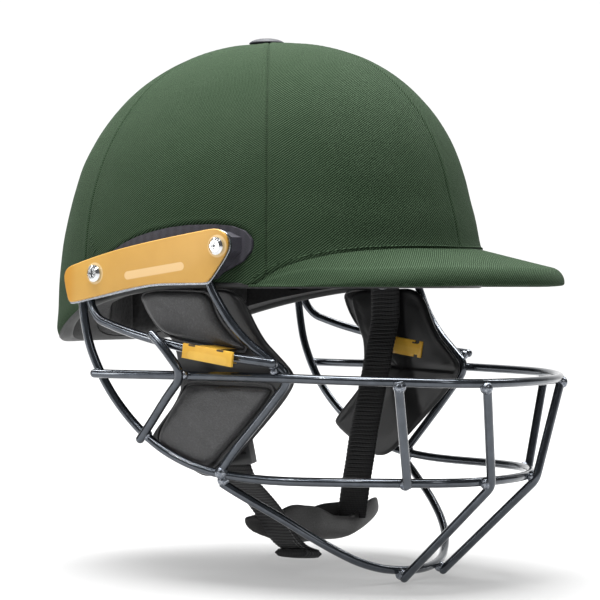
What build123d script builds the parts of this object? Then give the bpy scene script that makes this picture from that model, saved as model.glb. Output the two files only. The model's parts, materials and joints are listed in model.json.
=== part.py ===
from build123d import *
import os
import math

os.makedirs("parts", exist_ok=True)

# ---------------------------------------------------------------- dimensions
# millimetres, +Z up, front of the helmet is -Y, wearer's left is +X
DOME_A = 126.0          # outer semi-axis front to back
DOME_B = 104.0          # outer semi-axis side to side
DOME_H = 139.0          # height of the crown above the peak's lower edge
DOME_N = 2.35           # roundness of the profile (2 = ellipse)
DOME_Y = -2.0           # the dome's centre sits this far forward of the button
COVER_T = 1.2           # cloth cover
SHELL_T = 3.0           # moulded shell
GAP = 0.2               # glue gap between the shell and its linings
LINER_T = 14.0          # impact foam
PAD_T = 8.0             # comfort padding
RIM_T = 1.6             # depth of the edge binding
WIRE_R = 2.4            # grille wire radius
WEB_W = 20.0            # chin strap webbing width
WEB_T = 1.6             # chin strap webbing thickness
PLATE_X = 109.0         # outermost point of the side plate
PLATE_R = 900.0         # the side plate's slight front-to-back curve
PLATE_T = 1.6
FLANGE_T = 1.5
SCREW_R = 2.5           # M5
HEAD_R = 4.6
SCREWS = [(37.0, 7.4), (-46.0, 21.3)]     # (Y, Z) of the two side screws
PIVOT = (-24.0, 3.0)    # (Y, Z) of the chin strap rivet
STRAP_X = 88.0          # where the webbing hangs from its rivet

BIG = 400.0
nodes = {}


def yz(pts, x0, x1, rnd=0.0):
    """prism of a side-view outline (Y, Z), from x0 to x1"""
    pl = Plane(origin=(x0, 0, 0), x_dir=(0, 1, 0), z_dir=(1, 0, 0))
    face = make_face(Polyline(*pts, close=True))
    if rnd:
        face = offset(offset(face, amount=-rnd), amount=rnd, kind=Kind.ARC)
    f = pl * face
    return extrude(f, amount=x1 - x0, dir=(1, 0, 0))


def mirror_x(s):
    return mirror(s, about=Plane.YZ)


def one(s):
    sol = s.solids() if hasattr(s, "solids") else [s]
    return sorted(sol, key=lambda q: -q.volume)[0]


# ---------------------------------------------------------------- dome family
def dome(off=0.0, wall=-60.0):
    """solid dome, 'off' millimetres outside (+) or inside (-) the cloth"""
    n = 12
    pts = []
    for i in range(1, n):
        t = i / n * math.pi / 2
        r = 100.0 * math.cos(t) ** (2 / DOME_N)
        z = 100.0 * math.sin(t) ** (2 / DOME_N)
        pts.append((r, z))
    prof = Spline((100, 0), *pts, (0, 100), tangents=[(0, 1), (-1, 0)])
    k = 100.0 / (DOME_H + off)
    wall_l = Polyline((0, 100), (0, wall * k), (100, wall * k), (100, 0))
    face = make_face(Plane.XZ * Curve([prof, *wall_l.edges()]))
    s = revolve(face, axis=Axis.Z, revolution_arc=360)
    s = scale(s, by=((DOME_B + off) / 100, (DOME_A + off) / 100, (DOME_H + off) / 100))
    return Pos(0, DOME_Y, 0) * s


# lower edge of the shell: level under the peak, lower over the ears and nape
RIM = [(-200, 1.0), (-60, 1.0), (-35, 1.0), (-12, 0.6), (9, -1.4), (26, -3.8),
       (42, -6.9), (56, -10.4), (70, -14.5), (85, -19.5), (99, -25.5), (112, -29.0),
       (130, -30.0), (200, -30.0)]


def below_rim(drop=0.0, nape=0.0):
    """everything under the rim line lowered by drop (nape: more at the back)"""
    pts = [(y, z - drop - nape * min(1.0, max(0.0, (y - 60) / 45.0))) for y, z in RIM]
    pl = Plane(origin=(-BIG / 2, 0, 0), x_dir=(0, 1, 0), z_dir=(1, 0, 0))
    top = Spline(*pts)
    low = Polyline(pts[-1], (200, -200), (-200, -200), pts[0])
    f = pl * make_face(Curve([*top.edges(), *low.edges()]))
    return extrude(f, amount=BIG, dir=(1, 0, 0))


d_out = dome(0)
d_clear = dome(0.12)                       # what stands on the cloth starts here
d_cover_i = dome(-COVER_T + 0.12)
d_shell_o = dome(-COVER_T)
d_shell_i = dome(-COVER_T - SHELL_T)
o1 = COVER_T + SHELL_T + GAP
d_liner_o = dome(-o1)
d_liner_i = dome(-o1 - LINER_T)
o2 = o1 + LINER_T + GAP
d_pad_o = dome(-o2)
d_pad_i = dome(-o2 - PAD_T)

cut_rim = below_rim(0)
cut_rim_low = below_rim(RIM_T)
cut_bind = below_rim(0.12)
cut_liner = below_rim(-1.0, 3.0)
cut_pad = below_rim(-3.0, 9.0)

# ---------------------------------------------------------------- side plates
PLATE = [(60.2, 9.9), (45.7, 14.2), (22.3, 19.8), (-5.3, 24.7), (-30.0, 28.4), (-47.0, 30.6),
         (-54.5, 27.0), (-54.8, 18.0), (-41.0, 2.6), (-30.0, 2.2), (-5.3, 2.0), (13.2, -0.6),
         (34.0, -4.6), (54.2, -8.4)]


def yz_face(face, x0, x1):
    pl = Plane(origin=(x0, 0, 0), x_dir=(0, 1, 0), z_dir=(1, 0, 0))
    return extrude(pl * face, amount=x1 - x0, dir=(1, 0, 0))


def drum(x_at):
    """upright cylinder whose side touches x_at, for slightly curved plates"""
    return Pos(x_at - PLATE_R, 0, 0) * Cylinder(PLATE_R, 400)


def curved_slab(x_in, x_out):
    box = Pos((x_in + x_out) / 2, 0, 0) * Box(40, 200, 200)
    return (drum(x_out) & box) - drum(x_in)


x_plate_in = PLATE_X - PLATE_T
x_flange_in = x_plate_in - FLANGE_T
plate_face = offset(offset(make_face(Polyline(*PLATE, close=True)), amount=-2.0),
                    amount=2.0, kind=Kind.ARC)
flange_face = offset(plate_face, amount=1.1, kind=Kind.ARC)
inner_face = offset(plate_face, amount=-1.6, kind=Kind.ARC)

side_plate = yz_face(plate_face, 95, 118) & curved_slab(x_plate_in, PLATE_X)
flange = yz_face(flange_face, 95, 118) & curved_slab(x_flange_in, x_plate_in)

# dark moulded spacer that stands on the shell, in a cut-out of the cloth
RECESS = [(46.0, -3.0), (45.0, 12.0), (29.7, 19.6), (21.0, 23.6), (11.0, 27.0), (0.0, 29.6),
          (-11.0, 31.6), (-24.0, 32.8), (-37.0, 33.0), (-47.0, 32.0), (-54.0, 29.4),
          (-58.0, 25.0), (-58.2, 19.5), (-54.0, 13.6), (-45.0, 8.4), (-34.0, 5.0), (-10.0, 3.6)]
recess_face = offset(offset(make_face(Polyline(*RECESS, close=True)), amount=-3.0),
                     amount=3.0, kind=Kind.ARC)
recess_prism = yz_face(recess_face, 60, 125)
base = (recess_prism & dome(1.6)) - dome(-COVER_T + 0.1)
block = (yz_face(inner_face, 60, 125) & drum(x_flange_in)) - d_clear
spacer = base + block

# ---------------------------------------------------------------- screws
def screw(y, z):
    sag = y * y / (2 * PLATE_R)
    x0 = PLATE_X - sag
    head = Pos(x0 - 0.4, y, z) * Rot(0, 90, 0) * Cylinder(HEAD_R, 1.65, align=(Align.CENTER, Align.CENTER, Align.MIN))
    cap = Pos(x0 + 1.25, y, z) * Rot(0, 90, 0) * Cone(HEAD_R, 2.9, 1.3, align=(Align.CENTER, Align.CENTER, Align.MIN))
    shank = Pos(x0 - 26, y, z) * Rot(0, 90, 0) * Cylinder(SCREW_R, 26.1, align=(Align.CENTER, Align.CENTER, Align.MIN))
    s = (head + cap - drum(PLATE_X)) + shank
    cross = Pos(x0 + 1.9, y, z) * (Box(2.6, 1.0, 4.2) + Box(2.6, 4.2, 1.0))
    return s - cross


def hole(y, z, r, x0=60, x1=120):
    return Pos(x0, y, z) * Rot(0, 90, 0) * Cylinder(r, x1 - x0, align=(Align.CENTER, Align.CENTER, Align.MIN))


def tee_nut(y, z):
    """flanged insert that the screw bites into, on the shell's inner wall"""
    u = 1 - ((y - DOME_Y) / (DOME_A - o1)) ** 2 - 0.0
    xw = (DOME_B - COVER_T - SHELL_T) * math.sqrt(u)
    barrel = hole(y, z, 4.0, xw - 7.0, xw + 0.8)
    flange_ = hole(y, z, 8.5, xw - 8.2, xw - 7.0)
    return (barrel + flange_) - hole(y, z, SCREW_R)


screws = [screw(y, z) for y, z in SCREWS]
nuts = [tee_nut(y, z) for y, z in SCREWS]
holes = [hole(y, z, SCREW_R) for y, z in SCREWS]
for h in holes:
    side_plate -= h
    flange -= h
    spacer -= h

# ---------------------------------------------------------------- grille wires
def bar(pts, r=WIRE_R, radii=None):
    """bent round bar through the corner points, with the widest arcs they allow"""
    P = [Vector(*p) for p in pts]
    rad = []
    for i in range(1, len(P) - 1):
        a, b = P[i] - P[i - 1], P[i + 1] - P[i]
        turn = math.radians(a.get_angle(b))
        lim = 0.45 * min(a.length, b.length) / math.tan(max(turn, 1e-3) / 2)
        want = (radii or {}).get(i)
        rad.append(min(lim, want) if want else min(lim, 900.0))
    if rad:
        path = FilletPolyline(*P, radius=rad)
    else:
        path = Line(P[0], P[1])
    path = Wire(path.edges())
    s = sweep(sections=Plane(origin=path @ 0, z_dir=path % 0) * Circle(r), path=path)
    print("bar length %.1f  min radius %.1f" % (path.length, min(rad) if rad else 0))
    return s


def sym(pts):
    """left half (front centre last) to the whole run from right to left"""
    right = [(-x, y, z) for x, y, z in pts]
    left = [(x, y, z) for x, y, z in reversed(pts) if abs(x) > 1e-6]
    return right + left


# lower ring: rear upright down the back of each side, then round under the mouth
LOWER = [(102.0, 50.6, 4.0), (102.9, 50.2, -8.0), (102.8, 48.6, -20.0), (102.0, 45.6, -33.0),
         (100.9, 39.5, -46.5), (99.6, 32.0, -58.5), (98.4, 22.5, -69.5), (97.4, 11.0, -79.8),
         (96.0, -2.0, -88.2), (94.4, -17.0, -94.6), (91.8, -34.0, -98.9), (88.6, -53.0, -100.9),
         (84.4, -73.0, -101.5), (78.2, -94.5, -101.3), (70.8, -114.0, -101.1),
         (62.0, -130.8, -101.1), (50.2, -143.6, -101.3), (36.4, -152.4, -101.6),
         (19.0, -158.4, -101.7), (0.0, -160.4, -101.7)]
# upper ring, outside the rear uprights and the front elbows
UPPER = [(106.3, 38.8, -47.0), (105.6, 24.0, -47.1), (103.2, 2.0, -47.0), (100.6, -20.0, -46.9),
         (98.0, -44.0, -46.9), (95.2, -68.0, -47.0), (91.6, -92.0, -47.4), (85.6, -116.0, -47.8),
         (76.2, -138.0, -48.2), (61.4, -155.4, -49.0), (42.0, -167.4, -49.5),
         (21.0, -173.2, -49.6), (0.0, -174.8, -49.6)]
# chin loop
CHIN = [(91.0, -36.2, -103.6), (88.2, -42.0, -107.6), (82.2, -52.0, -114.4), (74.8, -64.0, -122.4),
        (66.0, -76.0, -131.8), (56.2, -85.4, -139.8), (44.6, -92.4, -146.6),
        (31.0, -98.6, -151.2), (16.0, -103.0, -153.2), (0.0, -104.6, -153.8)]
# front upright with its elbow at the upper ring, ending on the lower ring
FRONT = [(103.0, -35.6, 6.0), (103.0, -39.8, -3.0), (101.0, -44.6, -12.0), (99.4, -50.6, -21.0),
         (97.2, -58.4, -29.4), (94.4, -67.4, -36.6), (89.2, -80.6, -46.6), (91.2, -61.5, -69.0),
         (93.0, -47.0, -85.0), (92.6, -38.6, -95.0)]
DIAG = [(102.0, 45.6, 2.0), (102.4, 45.2, -9.5), (103.6, 38.0, -17.6), (104.2, 22.0, -22.8),
        (104.3, 5.0, -26.9), (104.0, -13.0, -30.7), (102.8, -35.0, -34.6), (101.2, -56.0, -37.4),
        (99.2, -75.5, -39.3)]
SIDE = [(109.0, -3.4, -25.2), (109.0, -10.4, -31.2), (106.0, -22.0, -46.2), (102.6, -7.6, -59.6),
        (100.4, 3.6, -72.2), (100.0, 12.0, -82.0)]
OUTER_V = [(77.9, -138.4, -47.9), (63.7, -135.2, -103.0)]
CENTRE_V = [(40.4, -168.6, -50.0), (24.0, -161.8, -104.0), (20.2, -105.8, -156.7)]

lower_bar = bar(sym(LOWER))
upper_bar = bar(sym(UPPER))
chin_bar = bar(sym(CHIN))
front_l = bar(FRONT, radii={6: 9.0, 9: 9})
diag_l = bar(DIAG, radii={2: 14.0, 1: 14.0})
knob = Pos(*DIAG[-1]) * Sphere(WIRE_R)
diag_l = diag_l + knob
side_l = bar(SIDE, radii={2: 8.0})
side_l = side_l + Pos(*SIDE[0]) * Sphere(WIRE_R) + Pos(*SIDE[-1]) * Sphere(WIRE_R)
outer_l = bar(OUTER_V)
centre_l = bar(CENTRE_V, radii={1: 10.0})
centre_l = centre_l + Pos(*CENTRE_V[-1]) * Sphere(WIRE_R)
end_t = Pos(*UPPER[0]) * Sphere(WIRE_R)
upper_bar = upper_bar + end_t + mirror_x(end_t)

# where one bar meets another it is cut to fit, then welded
lower_bar = one(lower_bar - upper_bar)
chin_bar = one(chin_bar - lower_bar)
front_l = one(front_l - upper_bar - lower_bar - chin_bar)
diag_l = one(diag_l - front_l - lower_bar - upper_bar)
side_l = one(side_l - upper_bar - lower_bar - diag_l)
outer_l = one(outer_l - upper_bar - lower_bar)
centre_l = one(centre_l - upper_bar - lower_bar - chin_bar)

wires_l = [lower_bar, upper_bar, chin_bar, front_l, diag_l, side_l, outer_l, centre_l]

# weld beads: one small lump at each joint, cut clear of the bars
WELDS = [((101.0, 39.6, -46.9), (105.9, 38.4, -47.0), 2.7), ((91.9, -74.6, -43.0), (96.0, -71.0, -44.6), 2.6),
         ((99.2, -75.0, -39.4), (95.0, -73.0, -41.0), 2.6), ((104.4, -8.0, -29.6), (108.6, -8.6, -29.9), 2.5),
         ((101.4, -20.0, -46.6), (104.6, -20.6, -46.6), 2.5), ((98.2, 9.6, -79.6), (98.0, 9.2, -79.2), 3.3),
         ((93.0, -37.6, -97.6), (92.4, -37.0, -98.6), 3.6), ((91.0, -37.6, -102.6), (91.0, -37.0, -102.0), 3.2),
         ((77.0, -138.6, -50.6), (77.0, -138.6, -51.0), 3.3), ((63.0, -133.6, -101.6), (63.4, -133.2, -101.4), 3.2),
         ((40.6, -168.4, -51.6), (41.0, -168.4, -52.0), 3.4), ((25.0, -159.6, -102.4), (25.0, -159.2, -102.4), 3.4),
         ((20.2, -103.6, -154.9), (20.2, -103.6, -154.9), 3.0)]
# the poles and the seam of a ball are turned away from where the bars cut it
WELD_TURN = {0: (0, 0, 90), 2: (0, 0, 180), 3: (0, 0, 180), 4: (0, 90, 0), 9: (0, 90, 0)}


def weld_ball(c, r, turn=(0, 0, 0)):
    ball = Pos(*c) * Rot(*turn) * Sphere(r)
    for w in wires_l:
        ball = ball - w
    return [s for s in ball.solids() if s.volume > 1.0]


weld_l, weld_r = [], []
for i_, (a, b, r) in enumerate(WELDS):
    c = ((a[0] + b[0]) / 2, (a[1] + b[1]) / 2, (a[2] + b[2]) / 2)
    lumps = weld_ball(c, r, WELD_TURN.get(i_, (0, 0, 0)))
    weld_r += [mirror_x(q) for q in (weld_ball(c, r) if i_ in WELD_TURN else lumps)]
    over = 0.0
    for w in wires_l:
        for t_ in lumps:
            both = t_ & w
            over += sum(q.volume for q in both.solids()) if both else 0.0
    print("weld at", c, len(lumps), "volume %.1f over %.3f" % (sum(t_.volume for t_ in lumps), over))
    weld_l += lumps

# ends of the bars are let into the flange and the spacer
for w in (lower_bar, front_l, diag_l):
    flange -= w
    spacer -= w
spacer = one(spacer)
flange = one(flange)

# ---------------------------------------------------------------- shell and cover
shell = d_shell_o - d_shell_i - cut_rim
cover = d_out - d_cover_i - cut_rim
for s in (1, -1):
    rp = recess_prism if s == 1 else mirror_x(recess_prism)
    cover -= rp
bind = (dome(-0.3) - dome(-COVER_T - SHELL_T + 0.3)) - cut_rim_low
bind = bind & cut_bind

nut_holes = [hole(y, z, 4.0, 60, 110) for y, z in SCREWS]
for h in nut_holes:
    shell = shell - h - mirror_x(h)
shell = one(shell)
cover = one(cover)

# ---------------------------------------------------------------- linings
pocket = yz([(-42, -60), (-42, 18), (-6, 18), (-6, -60)], 78, 104)          # room for the strap
nut_room = [hole(y, z, 9.5, 60, 104) for y, z in SCREWS]
liner = (d_liner_o - d_liner_i) - cut_liner
liner = liner - pocket - mirror_x(pocket)
for h in nut_room:
    liner = liner - h - mirror_x(h)
liner = one(liner)

pad_layer = (d_pad_o - d_pad_i) - cut_pad


def wedge(a0, a1, r=260):
    """plan-view sector from a0 to a1 degrees, 0 = front, + towards the left"""
    pts = [(0, DOME_Y)]
    k = 8
    for i in range(k + 1):
        a = math.radians(a0 + (a1 - a0) * i / k)
        pts.append((r * math.sin(a), DOME_Y - r * math.cos(a)))
    return Pos(0, 0, -100) * extrude(make_face(Polyline(*pts, close=True)), amount=300)


def band(z0, z1):
    return Pos(0, 0, (z0 + z1) / 2) * Box(BIG, BIG, z1 - z0)


front_pad = one(pad_layer & wedge(-48, 48) & band(-60, 42))
rear_pad = one(pad_layer & wedge(128, 232) & band(-60, 30))
side_pad = one(pad_layer & wedge(64, 118) & band(-60, 46)
               - yz([(-42, -60), (-42, 10), (-6, 10), (-6, -60)], 60, 104))
crown_pad = one(pad_layer & (Pos(1.5, DOME_Y + 3, 60) * Box(78, 104, 120)))

# ---------------------------------------------------------------- peak
PEAK = [(0.0, -181.0), (16.0, -179.8), (31.0, -175.6), (46.0, -167.4), (60.0, -155.6),
        (72.0, -140.0), (81.5, -122.0), (88.0, -102.0), (92.4, -82.0), (95.4, -64.0), (96.4, -55.0)]
# the peak is arched: height of its upper surface over X, at the front of the dome
ARCH = [(0.0, 19.5), (20.0, 19.0), (37.0, 17.6), (50.0, 15.5), (61.7, 12.6), (71.0, 9.0),
        (79.5, 4.0), (85.5, -1.0), (89.5, -6.0), (92.5, -12.0), (95.0, -19.0), (98.0, -30.0)]
ARCH_Y = -133.5
PEAK_SLOPE = 0.225      # it falls this much per millimetre forward
PEAK_T = 8.8            # thickness of the padded board with its cloth


def arch_block(drop, above):
    """everything above (or below) the arched surface, lowered by drop"""
    y0 = -30.0
    dz = PEAK_SLOPE * (y0 - ARCH_Y) - drop
    pts = [(-x, z + dz) for x, z in reversed(ARCH[1:])] + [(x, z + dz) for x, z in ARCH]
    top = Spline(*pts)
    far = 120.0 if above else -120.0
    rest = Polyline(pts[-1], (pts[-1][0], far), (pts[0][0], far), pts[0])
    f = make_face(Curve([*top.edges(), *rest.edges()]))
    f = Plane(origin=(0, y0, 0), x_dir=(1, 0, 0), z_dir=(0, -1, 0)) * f
    return extrude(f, amount=175.0, dir=(0, -1, -PEAK_SLOPE))


def peak_points(d):
    """the left half of the outline, moved d inwards"""
    out = []
    for i, (x, y) in enumerate(PEAK):
        x0, y0 = PEAK[i - 1] if i else (-PEAK[1][0], PEAK[1][1])
        x1, y1 = PEAK[min(i + 1, len(PEAK) - 1)]
        tx, ty = x1 - x0, y1 - y0
        k = math.hypot(tx, ty)
        out.append((x - d * ty / k, y + d * tx / k))
    return out


def peak_body(inset, back_y):
    left = peak_points(inset)
    right = [(-x, y) for x, y in reversed(left[1:])]
    outline = Spline(*(right + left))
    back = Line(left[-1], right[0])
    f = make_face(Curve([*outline.edges(), *back.edges()]))
    slab = Pos(0, 0, inset) * extrude(f, amount=40)
    slab = slab - arch_block(inset, True)
    slab = slab - arch_block(PEAK_T - inset, False)
    slab = slab & (Pos(0, back_y - 100, 0) * Box(400, 200, 200))
    return slab


peak_outer = one(peak_body(0, -57.0) - d_clear)
peak_in = one(peak_body(1.3, -76.0) - d_clear)
peak_cover = one(peak_outer - peak_in)

# ---------------------------------------------------------------- crown button
btn_z = DOME_H + 0.1
btn = Pos(0, 0, btn_z) * Cylinder(10.2, 1.4, align=(Align.CENTER, Align.CENTER, Align.MIN))
btn_r = (10.2 ** 2 + 2.1 ** 2) / (2 * 2.1)
btn_top = (Pos(0, 0, btn_z + 1.4 + 2.1 - btn_r) * Sphere(btn_r)) & (
    Pos(0, 0, btn_z + 1.4) * Cylinder(10.2, 6, align=(Align.CENTER, Align.CENTER, Align.MIN)))
button = one(btn + btn_top)

# ---------------------------------------------------------------- cheek pads
def half_space(c, outside=True):
    """solid on one side of the plane x = c + 0.09 y + 0.09 z"""
    n = Vector(1, -0.09, -0.09).normalized()
    pl = Plane(origin=(c, 0, 0), z_dir=n)
    b = Box(BIG, BIG, 200, align=(Align.CENTER, Align.CENTER, Align.MIN if outside else Align.MAX))
    return pl * b


BOARD = [(7.0, -2.6), (-20.0, -1.4), (-47.5, -0.6), (-60.0, -26.5), (-71.5, -37.4), (-78.2, -44.6),
         (-78.6, -50.5), (-71.0, -61.0), (-38.0, -93.6), (-32.0, -98.4), (-26.0, -101.2),
         (-19.0, -101.4), (-12.0, -98.2), (3.0, -90.6), (12.6, -84.0), (11.8, -79.6),
         (-6.4, -60.0), (-8.6, -54.0), (-6.8, -33.0), (-3.2, -27.0)]
CUSH_U = [(8.6, -4.4), (-26.5, -2.4), (-30.6, -5.4), (-34.6, -17.2), (-43.6, -27.4), (-52.0, -32.4),
          (-44.0, -31.6), (-18.0, -28.0), (-4.6, -25.6), (0.6, -22.6), (5.6, -14.6)]
CUSH_L = [(-16.0, -52.0), (-63.0, -52.2), (-67.2, -55.4), (-29.4, -92.8), (-23.6, -95.8),
          (-15.0, -94.2), (2.6, -86.9), (5.4, -83.0), (4.4, -77.0), (-9.0, -59.2), (-12.6, -54.4)]
BOARD_C = 97.5
BOARD_T = 4.0
board = yz(BOARD, 60, 118, 1.5) & half_space(BOARD_C, False) & half_space(BOARD_C - BOARD_T, True)
cush_u = yz(CUSH_U, 60, 118, 1.5) & half_space(BOARD_C, True) & half_space(BOARD_C + 4.6, False)
cush_l = yz(CUSH_L, 60, 118, 1.5) & half_space(BOARD_C, True) & half_space(BOARD_C + 5.4, False)

# clip that wraps the diagonal bar and passes through the board
CLIP_C = (-38.8, -35.5)
ux, uz = -21.0 / 21.19, -2.8 / 21.19          # along the bar, towards the front


def clip_rect(half_l, z0, z1, x0, x1, shift=0.0):
    """box along the bar: half length, from z0 to z1 across it, x0 to x1"""
    pts = []
    for a, b in ((-half_l, z0), (half_l, z0), (half_l, z1), (-half_l, z1)):
        a += shift
        pts.append((CLIP_C[0] + a * ux - b * uz * -1, CLIP_C[1] + a * uz + b * -ux))
    return yz(pts, x0, x1)


clip_front = clip_rect(16.4, -3.9, 3.9, 105.6, 107.2)
leg_up = clip_rect(7.0, 2.9, 3.9, 86.0, 105.6)
leg_dn = clip_rect(7.0, -3.9, -2.9, 86.0, 105.6)
leg_room_up = clip_rect(7.15, 2.75, 4.05, 80.0, 100.0)
leg_room_dn = clip_rect(7.15, -4.05, -2.75, 80.0, 100.0)
tab = clip_rect(13.6, -4.9, 4.9, 60, 118) & half_space(BOARD_C - BOARD_T - 0.1, False) & half_space(
    BOARD_C - BOARD_T - 1.5, True)
for e in (-1, 1):
    for q in (-1, 1):
        tab -= clip_rect(1.5, q * 4.4 - 1.0, q * 4.4 + 1.0, 60, 118, shift=e * 9.6)
legs = (leg_up + leg_dn) & half_space(BOARD_C - BOARD_T - 0.8, True)
clip = clip_front + legs + tab
clip = one(clip - diag_l)
board = one(board - leg_room_up - leg_room_dn)
cush_u = one(cush_u - leg_room_up)
for w in (lower_bar, upper_bar, front_l, diag_l, side_l, chin_bar):
    board = board - w
    cush_u = cush_u - w
    cush_l = cush_l - w
board, cush_u, cush_l = one(board), one(cush_u), one(cush_l)

# ---------------------------------------------------------------- chin strap
def ribbon(pts, w=WEB_W, t=WEB_T):
    """flat webbing along a route given as (x, y, z); its width lies along Y"""
    xz = [(p[0], p[2]) for p in pts]
    rad = []
    V = [Vector(a, 0, b) for a, b in xz]
    for i in range(1, len(V) - 1):
        a, b = V[i] - V[i - 1], V[i + 1] - V[i]
        turn = math.radians(a.get_angle(b))
        rad.append(min(400.0, 0.45 * min(a.length, b.length) / math.tan(max(turn, 1e-3) / 2)))
    path = FilletPolyline(*V, radius=rad)
    w_ = Wire(path.edges())
    sec = Plane(origin=w_ @ 0, z_dir=w_ % 0, x_dir=(0, 1, 0)) * Rectangle(w, t)
    s = sweep(sections=sec, path=w_)
    print("webbing run %.1f" % w_.length)
    return s, w_


LEFT = [(STRAP_X, PIVOT[1]), (87.2, -14.0), (82.0, -28.0), (76.2, -38.0), (70.4, -52.5), (62.4, -67.5),
        (53.0, -88.0), (45.0, -108.0), (39.2, -122.0), (34.8, -134.4)]
RIGHT = [(-STRAP_X, PIVOT[1]), (-87.0, -13.0), (-82.8, -32.0), (-80.8, -60.0), (-72.4, -102.0), (-60.5, -110.5),
         (-50.5, -118.5), (-42.5, -127.0), (-37.0, -134.0), (-30.5, -141.0), (-22.5, -146.0), (-14.0, -148.0)]
LEAN_DEG = 4.6          # both runs go this much forward as they fall


def strap_run(route):
    pts = [(x, 0.0, z) for x, z in route]
    s, w_ = ribbon(pts)
    # rounded top end with its rivet hole
    x0 = route[0][0]
    top = Pos(x0, 0, PIVOT[1]) * Rot(0, 90, 0) * Cylinder(WEB_W / 2, WEB_T)
    s = s + top
    s = s - Pos(x0, 0, PIVOT[1]) * Rot(0, 90, 0) * Cylinder(2.56, 12)
    place = Pos(0, PIVOT[0], PIVOT[1]) * Rot(-LEAN_DEG, 0, 0) * Pos(0, 0, -PIVOT[1])
    return place * s, place


web_left, place_l = strap_run(LEFT)
web_right, place_r = strap_run(RIGHT)
web_left, web_right = one(web_left), one(web_right)

# chin cup: curved leather piece with a front wall and a floor under the chin
CUP_Z = 14.6
CUP_PROF = [(-46.5, -140.2), (-21.0, -141.4), (-21.0, -138.4), (-41.5, -137.4), (-39.6, -124.6), (-42.6, -123.8)]
cup_face = Plane.YZ * make_face(Polyline(*CUP_PROF, close=True))
cup_axis = Axis((0, 0, CUP_Z), (0, 1, 0))
cup = revolve(cup_face, axis=cup_axis, revolution_arc=23)
cup2 = revolve(cup_face, axis=cup_axis, revolution_arc=-23)
cup = cup + cup2
cup = Pos(0, 4.6, 0) * cup
cup = cup - Pos(0, 0, -104.4) * Box(200, 100, 40)
print("cup bbox", cup.bounding_box())

# folded and stitched end of the webbing, under the cup
hem_local = Pos(-20.2, 0, -149.3) * Rot(0, 12, 0) * Box(15.0, 21.0, 2.8)
hem = place_r * hem_local
hem = one(hem - web_right - cup)
# the right-hand webbing passes through a notch in the cup's edge
cup = one(cup - web_right)
web_left = one(web_left - cup)

# adjuster buckle on the straight part of the right-hand run
P3, P4 = Vector(-80.8, 0, -60.0), Vector(-72.4, 0, -102.0)
run_dir = (P4 - P3).normalized()
B0 = P3 + run_dir * 27.5
bang = math.degrees(math.atan2(run_dir.X, -run_dir.Z))
frame_ = Box(5.0, 27.0, 17.0) - Box(2.4, 21.2, 40.0)
frame_ = frame_ - Pos(2.6, 0, 0) * Box(2.4, 21.2, 5.5) - Pos(-2.6, 0, 0) * Box(2.4, 21.2, 5.5)
buckle_local = Pos(B0.X, 0, B0.Z) * Rot(0, -bang, 0) * frame_
buckle = one(place_r * buckle_local)
d_glob = (place_r * Pos(P4.X, 0, P4.Z)).position - (place_r * Pos(P3.X, 0, P3.Z)).position
d_glob = d_glob.normalized()
print("buckle axis", d_glob, "centre", (place_r * Pos(B0.X, 0, B0.Z)).position)

# rivet and bracket that hold each webbing end to the shell's inner wall
py, pz = PIVOT


def xcyl(r, x0, x1):
    return Pos(x0, py, pz) * Rot(0, 90, 0) * Cylinder(r, x1 - x0, align=(Align.CENTER, Align.CENTER, Align.MIN))


bracket = (Pos(95.0, py, pz + 4) * Box(12.6, 20.0, 18.0)) & d_shell_i
bracket = bracket - (Pos(86.0, py, pz) * Box(6.0 + 0.6, 60, 60))
bracket = bracket & band(1.0, 40)
rivet = xcyl(2.5, 86.2, 100.5) + xcyl(4.6, 84.9, 86.5)
bracket = one(bracket - xcyl(2.5, 80, 110))
rivet = one(rivet & dome(-COVER_T - SHELL_T - 0.1))

# ---------------------------------------------------------------- side by side
nuts_l = [one(n_ - shell) for n_ in nuts]
screws_l = [one(s - shell) for s in screws]
liner = liner - bracket - mirror_x(bracket)
liner = one(liner)


def put(name, *solids):
    sol = []
    for s in solids:
        if isinstance(s, (list, tuple)):
            sol += list(s)
        else:
            sol.append(s)
    flat = []
    for s in sol:
        flat += list(s.solids()) if hasattr(s, "solids") else [s]
    nodes[name] = flat[0] if len(flat) == 1 else Compound(children=flat)
    export_step(nodes[name], "parts/%s.step" % name)


def pair(name, s):
    items = s if isinstance(s, (list, tuple)) else [s]
    put(name + "_left", *items)
    put(name + "_right", *[mirror_x(i) for i in items])


put("shell", shell)
put("fabric_cover", cover)
put("rim_binding", *bind.solids())
put("impact_liner", liner)
put("front_comfort_pad", front_pad)
put("rear_comfort_pad", rear_pad)
put("crown_comfort_pad", crown_pad)
pair("side_comfort_pad", side_pad)
put("peak_core", peak_in)
put("peak_cover", peak_cover)
put("crown_button", button)
pair("side_spacer", spacer)
pair("grille_flange", flange)
pair("side_plate", side_plate)
pair("plate_screws", screws_l)
pair("tee_nuts", nuts_l)
put("grille_lower_bar", lower_bar)
put("grille_upper_bar", upper_bar)
put("grille_chin_bar", chin_bar)
pair("grille_front_upright", front_l)
pair("grille_diagonal_bar", diag_l)
pair("grille_side_bar", side_l)
pair("grille_outer_vertical", outer_l)
pair("grille_centre_vertical", centre_l)
put("grille_welds_left", *weld_l)
put("grille_welds_right", *weld_r)
pair("cheek_pad_board", board)
pair("cheek_cushion_upper", cush_u)
pair("cheek_cushion_lower", cush_l)
pair("pad_clip", clip)
pair("strap_bracket", bracket)
pair("strap_rivet", rivet)
put("strap_webbing_left", web_left)
put("strap_webbing_right", web_right)
put("chin_cup", cup)
put("strap_end_hem", hem)
put("strap_buckle", buckle)
print(len(nodes), "nodes")
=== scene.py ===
import bpy
import bmesh
import json
import math
import numpy as np
from mathutils import Vector, Matrix, noise

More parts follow.
